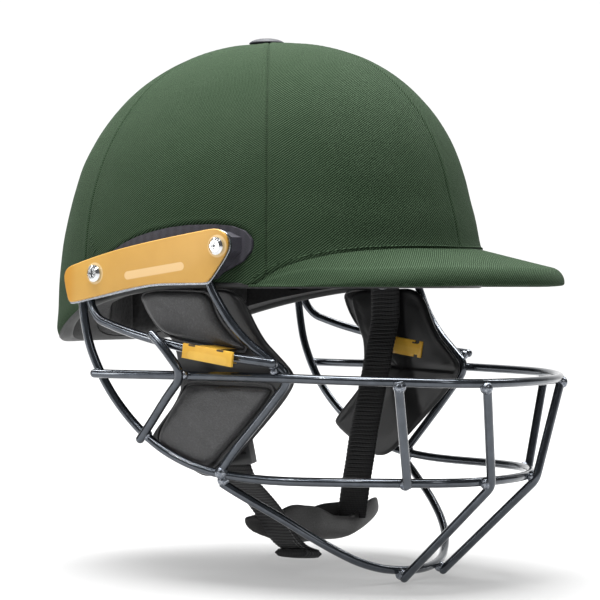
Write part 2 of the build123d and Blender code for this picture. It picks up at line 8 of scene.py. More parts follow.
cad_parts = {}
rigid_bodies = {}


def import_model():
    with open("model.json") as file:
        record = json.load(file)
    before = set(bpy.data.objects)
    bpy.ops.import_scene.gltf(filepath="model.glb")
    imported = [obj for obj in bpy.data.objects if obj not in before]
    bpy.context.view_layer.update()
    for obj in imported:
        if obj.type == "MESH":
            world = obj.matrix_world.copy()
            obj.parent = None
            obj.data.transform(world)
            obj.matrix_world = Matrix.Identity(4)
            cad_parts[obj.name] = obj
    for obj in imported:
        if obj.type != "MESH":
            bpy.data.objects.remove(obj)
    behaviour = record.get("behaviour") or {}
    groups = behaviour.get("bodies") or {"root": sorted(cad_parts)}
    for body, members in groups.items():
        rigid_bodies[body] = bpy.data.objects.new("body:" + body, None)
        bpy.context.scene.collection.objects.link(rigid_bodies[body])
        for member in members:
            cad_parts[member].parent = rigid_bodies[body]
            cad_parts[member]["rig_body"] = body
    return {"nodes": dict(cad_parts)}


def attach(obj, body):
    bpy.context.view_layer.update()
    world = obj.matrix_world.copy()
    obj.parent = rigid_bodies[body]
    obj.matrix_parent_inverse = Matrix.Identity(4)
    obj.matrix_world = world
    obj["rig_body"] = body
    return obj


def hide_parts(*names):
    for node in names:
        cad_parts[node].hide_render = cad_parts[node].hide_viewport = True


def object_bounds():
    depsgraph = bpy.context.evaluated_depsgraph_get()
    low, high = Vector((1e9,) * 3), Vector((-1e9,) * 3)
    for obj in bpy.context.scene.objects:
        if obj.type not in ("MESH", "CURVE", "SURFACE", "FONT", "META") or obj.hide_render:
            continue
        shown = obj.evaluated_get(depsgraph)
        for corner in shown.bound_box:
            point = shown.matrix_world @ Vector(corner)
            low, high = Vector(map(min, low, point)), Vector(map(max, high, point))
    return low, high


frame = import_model()
cad_low, cad_high = [list(v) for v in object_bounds()]
N = frame["nodes"]
scene = bpy.context.scene

# ------------------------------------------------------------------ dimensions
# millimetres, +Z up, front is -Y, the wearer's left is +X: the CAD's own numbers
A, B, H, POW, DY = 126.0, 104.0, 139.0, 2.35, -2.0
COVER_T, SHELL_T, LINER_T, PAD_T = 1.2, 3.0, 14.0, 8.0
O1 = COVER_T + SHELL_T + 0.2
O2 = O1 + LINER_T + 0.2
RIM = [(-200, 1.0), (-60, 1.0), (-35, 1.0), (-12, 0.6), (9, -1.4), (26, -3.8),
       (42, -6.9), (56, -10.4), (70, -14.5), (85, -19.5), (99, -25.5), (112, -29.0),
       (130, -30.0), (200, -30.0)]
RECESS = [(46.0, -3.0), (45.0, 12.0), (29.7, 19.6), (21.0, 23.6), (11.0, 27.0), (0.0, 29.6),
          (-11.0, 31.6), (-24.0, 32.8), (-37.0, 33.0), (-47.0, 32.0), (-54.0, 29.4),
          (-58.0, 25.0), (-58.2, 19.5), (-54.0, 13.6), (-45.0, 8.4), (-34.0, 5.0), (-10.0, 3.6)]
PEAK = [(0.0, -181.0), (16.0, -179.8), (31.0, -175.6), (46.0, -167.4), (60.0, -155.6),
        (72.0, -140.0), (81.5, -122.0), (88.0, -102.0), (92.4, -82.0), (95.4, -64.0), (96.4, -55.0)]
ARCH = [(0.0, 19.5), (20.0, 19.0), (37.0, 17.6), (50.0, 15.5), (61.7, 12.6), (71.0, 9.0),
        (79.5, 4.0), (85.5, -1.0), (89.5, -6.0), (92.5, -12.0), (95.0, -19.0), (98.0, -30.0)]
ARCH_Y, PEAK_SLOPE, PEAK_T = -133.5, 0.225, 8.8
BOARD = [(7.0, -2.6), (-20.0, -1.4), (-47.5, -0.6), (-60.0, -26.5), (-71.5, -37.4), (-78.2, -44.6),
         (-78.6, -50.5), (-71.0, -61.0), (-38.0, -93.6), (-32.0, -98.4), (-26.0, -101.2),
         (-19.0, -101.4), (-12.0, -98.2), (3.0, -90.6), (12.6, -84.0), (11.8, -79.6),
         (-6.4, -60.0), (-8.6, -54.0), (-6.8, -33.0), (-3.2, -27.0)]
CUSH_U = [(13.0, -2.2), (-26.5, -2.4), (-30.6, -5.4), (-34.6, -17.2), (-43.6, -27.4), (-52.0, -32.4),
          (-44.0, -31.6), (-18.0, -28.0), (-4.6, -25.6), (1.4, -22.4), (8.4, -12.8)]
CUSH_L = [(-16.0, -52.0), (-63.0, -52.2), (-67.2, -55.4), (-29.4, -92.8), (-23.6, -95.8),
          (-15.0, -94.2), (2.6, -86.9), (5.4, -83.0), (4.4, -77.0), (-9.0, -59.2), (-12.6, -54.4)]
BOARD_C, BOARD_T = 97.5, 4.0
PIVOT = (-24.0, 3.0)
STRAP_X = 88.0
LEAN = math.radians(4.6)
LEFT = [(STRAP_X, PIVOT[1]), (87.2, -14.0), (82.0, -28.0), (76.2, -38.0), (70.4, -52.5), (62.4, -67.5),
        (53.0, -88.0), (45.0, -108.0), (39.2, -122.0), (34.8, -134.4)]
RIGHT = [(-STRAP_X, PIVOT[1]), (-87.0, -13.0), (-82.8, -32.0), (-80.8, -60.0), (-72.4, -102.0), (-60.5, -110.5),
         (-50.5, -118.5), (-42.5, -127.0), (-37.0, -134.0), (-30.5, -141.0), (-22.5, -146.0), (-14.0, -148.0)]
SCREWS = [(37.0, 7.4), (-46.0, 21.3)]


# ------------------------------------------------------------------ small maths
def hermite(pts):
    """smooth curve through (x, y) points, as a function of x"""
    xs = np.array([p[0] for p in pts], float)
    ys = np.array([p[1] for p in pts], float)
    h = np.diff(xs)
    dl = np.diff(ys) / h
    m = np.zeros(len(xs))
    m[0], m[-1] = dl[0], dl[-1]
    for i in range(1, len(xs) - 1):
        m[i] = (dl[i - 1] * h[i] + dl[i] * h[i - 1]) / (h[i] + h[i - 1])

    def f(x):
        x = np.clip(np.asarray(x, float), xs[0], xs[-1])
        i = np.clip(np.searchsorted(xs, x) - 1, 0, len(xs) - 2)
        t = (x - xs[i]) / h[i]
        a = ys[i] * (1 + 2 * t) * (1 - t) ** 2 + h[i] * m[i] * t * (1 - t) ** 2
        return a + ys[i + 1] * t * t * (3 - 2 * t) + h[i] * m[i + 1] * t * t * (t - 1)

    return f


rim_z = hermite(RIM)
arch_f = hermite([(-x, z) for x, z in reversed(ARCH[1:])] + ARCH)

_t = np.linspace(0, math.pi / 2, 4000)
_r = np.cos(_t).clip(0) ** (2 / POW)
_z = np.sin(_t).clip(0) ** (2 / POW)
_s = np.concatenate([[0], np.cumsum(np.hypot(np.diff(_r) * 115.0, np.diff(_z) * H))])
S_TOP = float(_s[-1])


def profile(s):
    """unit radius and height of the dome at arc length s above its widest line"""
    s = np.asarray(s, float)
    r = np.interp(s, _s, _r)
    z = np.interp(s, _s, _z)
    return np.where(s < 0, 1.0, r), np.where(s < 0, s / H, z)


def s_at_z(z):
    return np.where(np.asarray(z) < 0, z, np.interp(np.asarray(z, float) / H, _z, _s))


def dome(phi, s, d=0.0):
    """point of the dome; phi 0 is the front, + is the wearer's left; d is outwards"""
    r, z = profile(s)
    return np.stack([(B + d) * r * np.sin(phi), DY - (A + d) * r * np.cos(phi), (H + d) * z], -1)


back_off = hermite([(-40, 4.9), (-21.6, 4.7), (-14.6, 4.1), (-0.6, 3.4), (13.5, 2.3), (27.5, 1.6), (41.5, 0.6), (56, 0.0),
                    (70, 0.0), (84, -0.9), (98, -1.7), (112, -2.4), (126, -2.6), (134, -2.4), (138, -0.9), (139.5, 0)])
side_off = hermite([(-40, 0), (50, 0), (84, -0.8), (112, -1.5), (130, -1.5), (138, -0.5), (139.5, 0)])
front_off = hermite([(-40, 0), (28, 0), (36, -0.4), (48, -1.2), (63, -1.1), (77, -0.7), (98, -0.2), (126, -0.1),
                     (138, 0), (139.5, 0)])


def ease(a, lo, hi):
    t = np.clip((a - lo) / (hi - lo), 0, 1)
    return t * t * (3 - 2 * t)


def extra(phi, s):
    """how far the cloth stands off the plain dome"""
    a = abs(math.degrees((phi + math.pi) % (2 * math.pi) - math.pi))
    z = profile(s)[1] * H
    wb, wf = ease(a, 110, 150), 1 - ease(a, 45, 85)
    return wb * back_off(z) + wf * front_off(z) + (1 - wb - wf) * side_off(z)


def skin(phi, s, d=0.0):
    return dome(phi, s, d + extra(phi, s))


rim_v = hermite(RIM[:8] + [(70, -14.8), (85, -20.6), (99, -27.4), (112, -30.0), (130, -30.6), (200, -30.6)])


def chaikin(pts, n=2, closed=True):
    p = [np.array(q, float) for q in pts]
    for _ in range(n):
        out = []
        k = len(p) if closed else len(p) - 1
        if not closed:
            out.append(p[0])
        for i in range(k):
            a, b = p[i], p[(i + 1) % len(p)]
            out += [a * 0.78 + b * 0.22, a * 0.22 + b * 0.78]
        if not closed:
            out.append(p[-1])
        p = out
    return np.array(p)


def poly_dist(px, py, poly):
    """distance to a closed outline, negative inside"""
    d = np.full(px.shape, 1e9)
    inside = np.zeros(px.shape, bool)
    for i in range(len(poly)):
        (x0, y0), (x1, y1) = poly[i], poly[(i + 1) % len(poly)]
        ex, ey = x1 - x0, y1 - y0
        t = np.clip(((px - x0) * ex + (py - y0) * ey) / (ex * ex + ey * ey + 1e-12), 0, 1)
        d = np.minimum(d, np.hypot(px - x0 - t * ex, py - y0 - t * ey))
        cross = (y0 > py) != (y1 > py)
        with np.errstate(divide="ignore", invalid="ignore"):
            xi = (x1 - x0) * (py - y0) / (y1 - y0 + 1e-12) + x0
        inside ^= cross & (px < xi)
    return np.where(inside, -d, d)


def nz(p, scale, amp, seed=0.0):
    """smooth repeatable noise at each point (mm)"""
    return np.array([noise.noise(Vector((q[0] * scale + seed, q[1] * scale, q[2] * scale))) for q in p]) * amp


# ------------------------------------------------------------------ mesh makers
def make(name, verts, faces, mat, weave=None, smooth=True):
    me = bpy.data.meshes.new(name)
    v = np.asarray(verts, float).reshape(-1, 3) * 0.001
    me.from_pydata(v.tolist(), [], [tuple(int(i) for i in f) for f in faces])
    me.update()
    bm = bmesh.new()
    bm.from_mesh(me)
    bmesh.ops.recalc_face_normals(bm, faces=bm.faces)
    bm.to_mesh(me)
    bm.free()
    me.polygons.foreach_set("use_smooth", [smooth] * len(me.polygons))
    me.materials.append(mat)
    if weave is not None:
        at = me.attributes.new("weave", "FLOAT_VECTOR", "POINT")
        at.data.foreach_set("vector", np.asarray(weave, np.float32).reshape(-1))
    ob = bpy.data.objects.new(name, me)
    scene.collection.objects.link(ob)
    return ob


def grid_faces(nu, nv, wrap_u=False, wrap_v=False, base=0):
    """faces of a grid stored row by row: index = i * nv + j"""
    f = []
    for i in range(nu if wrap_u else nu - 1):
        for j in range(nv if wrap_v else nv - 1):
            i2, j2 = (i + 1) % nu, (j + 1) % nv
            f.append((base + i * nv + j, base + i2 * nv + j, base + i2 * nv + j2, base + i * nv + j2))
    return f


def tube(path, r, k=8, closed=False, squash_z=1.0):
    """round piping along a path (mm): vertices and faces"""
    p = np.asarray(path, float)
    n = len(p)
    t = np.roll(p, -1, 0) - np.roll(p, 1, 0)
    if not closed:
        t[0], t[-1] = p[1] - p[0], p[-1] - p[-2]
    t /= np.linalg.norm(t, axis=1)[:, None] + 1e-12
    up = np.array([0.0, 0, 1])
    ref = np.cross(t[0], up)
    if np.linalg.norm(ref) < 1e-3:
        ref = np.array([1.0, 0, 0])
    V = []
    a = ref / np.linalg.norm(ref)
    rr = np.broadcast_to(r, (n,))
    for i in range(n):
        a = a - t[i] * np.dot(a, t[i])
        a /= np.linalg.norm(a)
        b = np.cross(t[i], a)
        for j in range(k):
            w = 2 * math.pi * j / k
            V.append(p[i] + rr[i] * (math.cos(w) * a + math.sin(w) * squash_z * b))
    F = grid_faces(n, k, wrap_u=closed, wrap_v=True)
    if not closed:
        F.append(tuple(range(k - 1, -1, -1)))
        F.append(tuple((n - 1) * k + j for j in range(k)))
    return np.array(V), F


def join_parts(parts):
    """several (verts, faces) as one"""
    V, F, off = [], [], 0
    for v, f in parts:
        V.append(np.asarray(v, float).reshape(-1, 3))
        F += [tuple(i + off for i in q) for q in f]
        off += len(V[-1])
    return np.vstack(V), F


def soft_copy(node, width, mat, seg=2, angle=38, name=None):
    """the CAD node's own shape with its hard edges eased"""
    me = N[node].data.copy()
    ob = bpy.data.objects.new(name or node + "_eased", me)
    scene.collection.objects.link(ob)
    bm = bmesh.new()
    bm.from_mesh(me)
    bmesh.ops.remove_doubles(bm, verts=bm.verts, dist=2e-6)
    bmesh.ops.dissolve_limit(bm, angle_limit=math.radians(0.8), verts=bm.verts, edges=bm.edges)
    bm.to_mesh(me)
    bm.free()
    m = ob.modifiers.new("ease", "BEVEL")
    m.width = width * 0.001
    m.segments = seg
    m.limit_method = "ANGLE"
    m.angle_limit = math.radians(angle)
    m.use_clamp_overlap = True
    m.harden_normals = False
    dg = bpy.context.evaluated_depsgraph_get()
    new = bpy.data.meshes.new_from_object(ob.evaluated_get(dg))
    ob.modifiers.clear()
    ob.data = new
    new.materials.clear()
    new.materials.append(mat)
    new.polygons.foreach_set("use_smooth", [True] * len(new.polygons))
    new.update()
    try:
        new.set_sharp_from_angle(angle=math.radians(32))
    except AttributeError:
        pass
    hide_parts(node)
    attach(ob, N[node]["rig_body"])
    return ob


# ------------------------------------------------------------------ materials
class Mat:
    """one procedural material; helper calls add nodes and links"""

    def __init__(self, name, base, rough=0.5, metallic=0.0, **sockets):
        self.m = bpy.data.materials.new(name)
        self.m.use_nodes = True
        self.t = self.m.node_tree
        self.p = self.t.nodes["Principled BSDF"]
        self.set("Base Color", (*base, 1.0))
        self.set("Roughness", rough)
        self.set("Metallic", metallic)
        for k, v in sockets.items():
            self.set(k.replace("_", " "), v)
        self.m.diffuse_color = (*base, 1.0)

    def set(self, k, v):
        if k in self.p.inputs:
            self.p.inputs[k].default_value = v

    def n(self, kind, **kw):
        node = self.t.nodes.new(kind)
        for k, v in kw.items():
            if hasattr(node, k) and not k.startswith("in_"):
                setattr(node, k, v)
        return node

    def link(self, a, b):
        self.t.links.new(a, b)

    def coords(self, weave=False):
        if weave:
            return self.n("ShaderNodeAttribute", attribute_name="weave").outputs["Vector"]
        return self.n("ShaderNodeTexCoord").outputs["Object"]

    def mapped(self, vec, scale=(1, 1, 1), rot=(0, 0, 0)):
        mp = self.n("ShaderNodeMapping")
        mp.inputs["Scale"].default_value = scale
        mp.inputs["Rotation"].default_value = rot
        self.link(vec, mp.inputs["Vector"])
        return mp.outputs["Vector"]

    def noise(self, vec, scale, detail=3.0, rough=0.5, dist=0.0):
        x = self.n("ShaderNodeTexNoise")
        x.inputs["Scale"].default_value = scale
        x.inputs["Detail"].default_value = detail
        x.inputs["Roughness"].default_value = rough
        x.inputs["Distortion"].default_value = dist
        self.link(vec, x.inputs["Vector"])
        return x.outputs["Fac"]

    def wave(self, vec, scale, dist=0.0, dscale=1.0, direction="X", profile="SIN"):
        x = self.n("ShaderNodeTexWave", wave_type="BANDS", bands_direction=direction, wave_profile=profile)
        x.inputs["Scale"].default_value = scale
        x.inputs["Distortion"].default_value = dist
        x.inputs["Detail Scale"].default_value = dscale
        x.inputs["Detail"].default_value = 1.0
        self.link(vec, x.inputs["Vector"])
        return x.outputs["Fac"]

    def voronoi(self, vec, scale, feature="F1"):
        x = self.n("ShaderNodeTexVoronoi", feature=feature)
        x.inputs["Scale"].default_value = scale
        self.link(vec, x.inputs["Vector"])
        return x.outputs["Distance"]

    def math(self, op, a, b=0.0, clamp=False):
        x = self.n("ShaderNodeMath", operation=op, use_clamp=clamp)
        for i, v in enumerate((a, b)):
            if isinstance(v, (int, float)):
                x.inputs[i].default_value = v
            else:
                self.link(v, x.inputs[i])
        return x.outputs[0]

    def ramp(self, fac, stops):
        x = self.n("ShaderNodeValToRGB")
        r = x.color_ramp
        while len(r.elements) < len(stops):
            r.elements.new(0.5)
        for e, (pos, col) in zip(r.elements, stops):
            e.position = pos
            e.color = (*col, 1.0) if len(col) == 3 else col
        self.link(fac, x.inputs["Fac"])
        return x.outputs["Color"]

    def mix(self, fac, a, b, mode="MIX"):
        x = self.n("ShaderNodeMix", data_type="RGBA", blend_type=mode)
        for sock, v in ((x.inputs[0], fac), (x.inputs[6], a), (x.inputs[7], b)):
            if isinstance(v, (int, float)):
                sock.default_value = v
            elif isinstance(v, tuple):
                sock.default_value = (*v, 1.0)
            else:
                self.link(v, sock)
        return x.outputs[2]

    def colour(self, sock):
        self.link(sock, self.p.inputs["Base Color"])

    def roughness(self, fac, lo, hi):
        x = self.n("ShaderNodeMapRange")
        x.inputs["To Min"].default_value = lo
        x.inputs["To Max"].default_value = hi
        self.link(fac, x.inputs["Value"])
        self.link(x.outputs["Result"], self.p.inputs["Roughness"])

    def bump(self, height, strength, dist, prev=None):
        x = self.n("ShaderNodeBump")
        x.inputs["Strength"].default_value = strength
        x.inputs["Distance"].default_value = dist
        self.link(height, x.inputs["Height"])
        if prev is not None:
            self.link(prev, x.inputs["Normal"])
        self.link(x.outputs["Normal"], self.p.inputs["Normal"])
        return x.outputs["Normal"]


def cloth_material():
    m = Mat("cap_cloth_twill", (0.026, 0.052, 0.025), 0.88)
    m.set("Sheen Weight", 0.02)
    m.set("Sheen Roughness", 0.40)
    m.set("Sheen Tint", (0.80, 0.94, 0.80, 1.0))
    m.set("Specular IOR Level", 0.07)
    w = m.coords(True)
    # diagonal cords of the twill, about 1.1 mm apart, with the yarns across them
    cords = m.wave(m.mapped(w, rot=(0, 0, math.radians(52))), 0.285, 1.4, 0.8)
    yarn = m.wave(m.mapped(w, rot=(0, 0, math.radians(-38))), 0.52, 1.2, 1.6)
    fuzz = m.noise(w, 2.6, 4.0, 0.7)
    cloud = m.noise(w, 0.028, 3.0, 0.6)
    h = m.math("ADD", m.math("MULTIPLY", cords, 0.55), m.math("MULTIPLY", yarn, 0.20))
    h = m.math("ADD", h, m.math("MULTIPLY", fuzz, 0.75))
    shade = m.ramp(h, [(0.30, (0.0054, 0.0118, 0.0052)), (0.78, (0.0184, 0.0350, 0.0172)), (1.15, (0.062, 0.096, 0.058))])
    m.colour(m.mix(cloud, shade, (0.74, 0.84, 0.74), "MULTIPLY"))
    m.roughness(fuzz, 0.80, 0.95)
    m.bump(h, 0.85, 0.00040)
    return m.m


def leather_material(name, base, lo, hi, grain=1500.0, strength=0.3):
    m = Mat(name, base, 0.5)
    m.set("Specular IOR Level", 0.55)
    o = m.coords()
    cell = m.voronoi(o, grain)
    fine = m.noise(o, grain * 1.4, 4.0, 0.65)
    grainy = m.wave(m.mapped(o, rot=(math.radians(48), 0, 0)), 300.0, 5.0, 6.0, "Y")
    wear = m.noise(o, 20.0, 3.0, 0.5)
    h = m.math("ADD", m.math("MULTIPLY", cell, 0.6), m.math("MULTIPLY", fine, 0.5))
    h = m.math("ADD", h, m.math("MULTIPLY", grainy, 0.22))
    c = m.ramp(h, [(0.25, tuple(0.6 * b for b in base)), (0.75, base), (1.1, tuple(min(1, 1.5 * b) for b in base))])
    m.colour(m.mix(wear, c, (0.80, 0.80, 0.80), "MULTIPLY"))
    m.roughness(wear, lo, hi)
    m.bump(h, strength, 0.0003)
    return m.m


def wire_material():
    m = Mat("grille_wire_gunmetal", (0.10, 0.115, 0.14), 0.24, 0.85)
    o = m.coords()
    mott = m.noise(o, 180.0, 3.0, 0.55)
    fine = m.noise(o, 2600.0, 2.0, 0.6)
    c = m.ramp(mott, [(0.3, (0.044, 0.052, 0.064)), (0.72, (0.072, 0.083, 0.100))])
    m.colour(c)
    m.roughness(mott, 0.19, 0.25)
    m.bump(fine, 0.02, 0.0001)
    m.set("Coat Weight", 0.8)
    m.set("Coat Roughness", 0.10)
    return m.m


def weld_material():
    m = Mat("weld_metal", (0.16, 0.18, 0.21), 0.3, 0.95)
    o = m.coords()
    k = m.noise(o, 700.0, 3.0, 0.6)
    m.colour(m.ramp(k, [(0.35, (0.10, 0.115, 0.14)), (0.75, (0.42, 0.44, 0.48))]))
    m.roughness(k, 0.16, 0.36)
    m.bump(k, 0.3, 0.0004)
    return m.m


def near(m, o, y, z, r0, r1):
    """1 inside r0 mm of a point seen from the side, 0 outside r1 mm"""
    sep = m.n("ShaderNodeSeparateXYZ")
    m.link(o, sep.inputs[0])
    dy = m.math("SUBTRACT", sep.outputs["Y"], y * 0.001)
    dz = m.math("SUBTRACT", sep.outputs["Z"], z * 0.001)
    d = m.math("SQRT", m.math("ADD", m.math("MULTIPLY", dy, dy), m.math("MULTIPLY", dz, dz)))
    x = m.n("ShaderNodeMapRange", interpolation_type="SMOOTHSTEP")
    x.inputs["From Min"].default_value = r0 * 0.001
    x.inputs["From Max"].default_value = r1 * 0.001
    x.inputs["To Min"].default_value = 1.0
    x.inputs["To Max"].default_value = 0.0
    m.link(d, x.inputs["Value"])
    return x.outputs["Result"]


def capsule(m, o, y0, z0, y1, z1, r, soft=0.25):
    """1 inside a pill shape between two points seen from the side"""
    L = math.hypot(y1 - y0, z1 - z0) / 2
    a = math.atan2(z1 - z0, y1 - y0)
    sep = m.n("ShaderNodeSeparateXYZ")
    m.link(o, sep.inputs[0])
    dy = m.math("SUBTRACT", sep.outputs["Y"], (y0 + y1) / 2 * 0.001)
    dz = m.math("SUBTRACT", sep.outputs["Z"], (z0 + z1) / 2 * 0.001)
    u = m.math("ADD", m.math("MULTIPLY", dy, math.cos(a)), m.math("MULTIPLY", dz, math.sin(a)))
    v = m.math("SUBTRACT", m.math("MULTIPLY", dz, math.cos(a)), m.math("MULTIPLY", dy, math.sin(a)))
    e = m.math("MAXIMUM", m.math("SUBTRACT", m.math("ABSOLUTE", u), (L - r) * 0.001), 0.0)
    d = m.math("SQRT", m.math("ADD", m.math("MULTIPLY", e, e), m.math("MULTIPLY", v, v)))
    x = m.n("ShaderNodeMapRange", interpolation_type="SMOOTHSTEP")
    x.inputs["From Min"].default_value = (r - soft) * 0.001
    x.inputs["From Max"].default_value = (r + soft) * 0.001
    x.inputs["To Min"].default_value = 1.0
    x.inputs["To Max"].default_value = 0.0
    m.link(d, x.inputs["Value"])
    return x.outputs["Result"]


def plate_material():
    m = Mat("side_plate_gold", (0.72, 0.43, 0.10), 0.38, 0.12)
    o = m.coords()
    cloud = m.noise(o, 30.0, 3.0, 0.5)
    grain = m.noise(m.mapped(o, scale=(1, 0.12, 1)), 2600.0, 3.0, 0.6)
    c = m.ramp(cloud, [(0.3, (0.530, 0.285, 0.048)), (0.7, (0.610, 0.340, 0.064))])
    # painted shade: the plate's rear end (Y 50 to 57 mm) is mixed to a darker amber, standing in for the shade on its
    # bent end
    sep = m.n("ShaderNodeSeparateXYZ")
    m.link(o, sep.inputs[0])
    end = m.n("ShaderNodeMapRange", interpolation_type="SMOOTHSTEP")
    end.inputs["From Min"].default_value = 0.050
    end.inputs["From Max"].default_value = 0.057
    m.link(sep.outputs["Y"], end.inputs["Value"])
    c = m.mix(end.outputs["Result"], c, (0.56, 0.27, 0.028))
    c = m.mix(m.math("MULTIPLY", capsule(m, o, 15.6, 5.9, -24.6, 11.2, 2.2), 0.8), c, (0.80, 0.55, 0.27))
    # painted highlight: a pale ring round each screw stands in for light caught on the countersunk rim
    ring = m.math("ADD", near(m, o, *SCREWS[0], 5.5, 6.2), near(m, o, *SCREWS[1], 5.5, 6.2), True)
    c = m.mix(m.math("MULTIPLY", ring, 0.8), c, (0.78, 0.58, 0.30))
    m.colour(c)
    m.roughness(grain, 0.32, 0.46)
    m.bump(grain, 0.10, 0.00012)
    m.set("Coat Weight", 0.10)
    m.set("Coat Roughness", 0.2)
    return m.m


def clip_material():
    m = Mat("pad_clip_moulded", (0.74, 0.42, 0.04), 0.36)
    o = m.coords()
    k = m.noise(o, 900.0, 4.0, 0.6)
    big = m.noise(o, 60.0, 3.0, 0.5)
    c = m.ramp(big, [(0.3, (0.60, 0.32, 0.028)), (0.7, (0.80, 0.47, 0.05))])
    # painted shade: dark notch marks along the top edge stand in for the shaded insides of the slots, and a shallow
    # blank panel
    c = m.mix(m.math("MULTIPLY", capsule(m, o, -51.6, -38.9, -25.9, -35.5, 2.3, 0.5), 0.22), c, (0.92, 0.62, 0.12))
    for y, z in ((-47.4, -33.2), (-28.9, -30.7)):
        c = m.mix(capsule(m, o, y - 2.3, z - 0.3, y + 2.3, z + 0.3, 0.55, 0.15), c, (0.05, 0.03, 0.01))
    m.colour(c)
    m.roughness(k, 0.32, 0.5)
    m.bump(k, 0.18, 0.0002)
    return m.m


def metal_material(name, base, lo, hi, scale=1400.0, bump=0.06):
    m = Mat(name, base, lo, 1.0)
    o = m.coords()
    k = m.noise(m.mapped(o, scale=(1, 0.2, 1)), scale, 3.0, 0.6)
    m.colour(m.ramp(k, [(0.3, tuple(0.8 * b for b in base)), (0.7, base)]))
    m.roughness(k, lo, hi)
    m.bump(k, bump, 0.0001)
    return m.m


def moulded_material(name, base, lo, hi, scale=1500.0, strength=0.2, metallic=0.0):
    m = Mat(name, base, lo, metallic)
    o = m.coords()
    k = m.noise(o, scale, 4.0, 0.6)
    big = m.noise(o, 60.0, 3.0, 0.5)
    m.colour(m.ramp(big, [(0.3, tuple(0.72 * b for b in base)), (0.7, tuple(min(1.0, 1.15 * b) for b in base))]))
    m.roughness(k, lo, hi)
    m.bump(k, strength, 0.0002)
    return m.m


def webbing_material():
    m = Mat("strap_webbing_weave", (0.012, 0.012, 0.013), 0.7)
    m.set("Sheen Weight", 0.12)
    m.set("Specular IOR Level", 0.35)
    w = m.coords(True)
    across = m.wave(w, 0.30, 0.5, 1.0, "X")
    along = m.wave(w, 0.262, 0.3, 1.0, "Y")
    fuzz = m.noise(w, 3.0, 4.0, 0.7)
    h = m.math("ADD", m.math("MULTIPLY", across, 0.5), m.math("MULTIPLY", along, 0.5))
    h = m.math("ADD", h, m.math("MULTIPLY", fuzz, 0.5))
    m.colour(m.ramp(h, [(0.35, (0.002, 0.002, 0.0024)), (0.9, (0.0075, 0.0075, 0.0082)), (1.2, (0.019, 0.019, 0.0205))]))
    m.roughness(fuzz, 0.55, 0.8)
    m.bump(h, 0.5, 0.0004)
    return m.m


def knit_material(name, base, scale=0.45, strength=0.5):
    m = Mat(name, base, 0.85)
    m.set("Sheen Weight", 0.06)
    m.set("Specular IOR Level", 0.25)
    o = m.coords()
    v = m.voronoi(o, 1000.0 * scale)
    k = m.noise(o, 2200.0 * scale, 4.0, 0.65)
    big = m.noise(o, 45.0, 4.0, 0.6)
    h = m.math("ADD", m.math("MULTIPLY", v, 0.7), m.math("MULTIPLY", k, 0.6))
    c = m.ramp(h, [(0.3, tuple(0.5 * b for b in base)), (1.0, tuple(1.5 * b for b in base))])
    m.colour(m.mix(big, c, (0.7, 0.7, 0.7), "MULTIPLY"))
    m.roughness(k, 0.75, 0.95)
    m.bump(h, strength, 0.0005)
    return m.m


def spacer_material():
    m = Mat("side_spacer_moulded", (0.030, 0.028, 0.040), 0.62)
    o = m.coords()
    grain = m.noise(o, 1700.0, 4.0, 0.7)
    ribs = m.wave(m.mapped(o, scale=(1, 1, 0.15)), 62.0, 1.5, 2.0, "Y")
    big = m.noise(o, 70.0, 3.0, 0.5)
    h = m.math("ADD", m.math("MULTIPLY", grain, 0.8), m.math("MULTIPLY", ribs, 0.16))
    m.colour(m.ramp(h, [(0.35, (0.016, 0.015, 0.022)), (0.85, (0.050, 0.047, 0.064))]))
    m.roughness(big, 0.5, 0.75)
    m.bump(h, 0.5, 0.0004)
    return m.m


M_CLOTH = cloth_material()
M_LEATHER = leather_material("pad_leather_grain", (0.060, 0.060, 0.062), 0.34, 0.50, 1150.0, 0.75)
M_BOARD = leather_material("pad_board_skin", (0.009, 0.009, 0.010), 0.30, 0.44, 1900.0, 0.16)
M_CUP = leather_material("chin_cup_skin", (0.030, 0.029, 0.029), 0.40, 0.56, 1100.0, 0.35)
M_WIRE = wire_material()
M_WELD = weld_material()
M_PLATE = plate_material()
M_FLANGE = metal_material("flange_steel", (0.36, 0.38, 0.41), 0.20, 0.32)
M_CHROME = metal_material("screw_chrome", (0.78, 0.79, 0.80), 0.10, 0.22, 2600.0)
M_SPACER = spacer_material()
M_CLIP = clip_material()
M_WEB = webbing_material()
M_SHELL = moulded_material("shell_moulded", (0.007, 0.007, 0.0075), 0.5, 0.65)
M_FOAM = knit_material("liner_foam", (0.0075, 0.0075, 0.008), 0.6, 0.35)
M_PAD = knit_material("comfort_pad_cloth", (0.016, 0.016, 0.0165), 0.42, 0.5)
M_TRIM = moulded_material("rim_binding_rubber", (0.012, 0.013, 0.013), 0.5, 0.7)
M_BUTTON = moulded_material("crown_button_cloth", (0.010, 0.011, 0.018), 0.52, 0.68, 2200.0, 0.3)
M_BUCKLE = moulded_material("buckle_moulded", (0.045, 0.046, 0.048), 0.28, 0.42)
M_RIVET = metal_material("rivet_steel", (0.45, 0.46, 0.48), 0.22, 0.36)
M_THREAD_PALE = moulded_material("stitch_thread_pale", (0.15, 0.15, 0.15), 0.5, 0.7, 3000.0, 0.4)
M_THREAD = moulded_material("stitch_thread", (0.030, 0.030, 0.032), 0.5, 0.7, 3000.0, 0.4)
# green thread strip under the peak fold, also a stand-in for the shade line there
M_SEAM_SHADE_THREAD = moulded_material("seam_thread_and_shade_green", (0.022, 0.055, 0.030), 0.6, 0.8, 3000.0, 0.4)

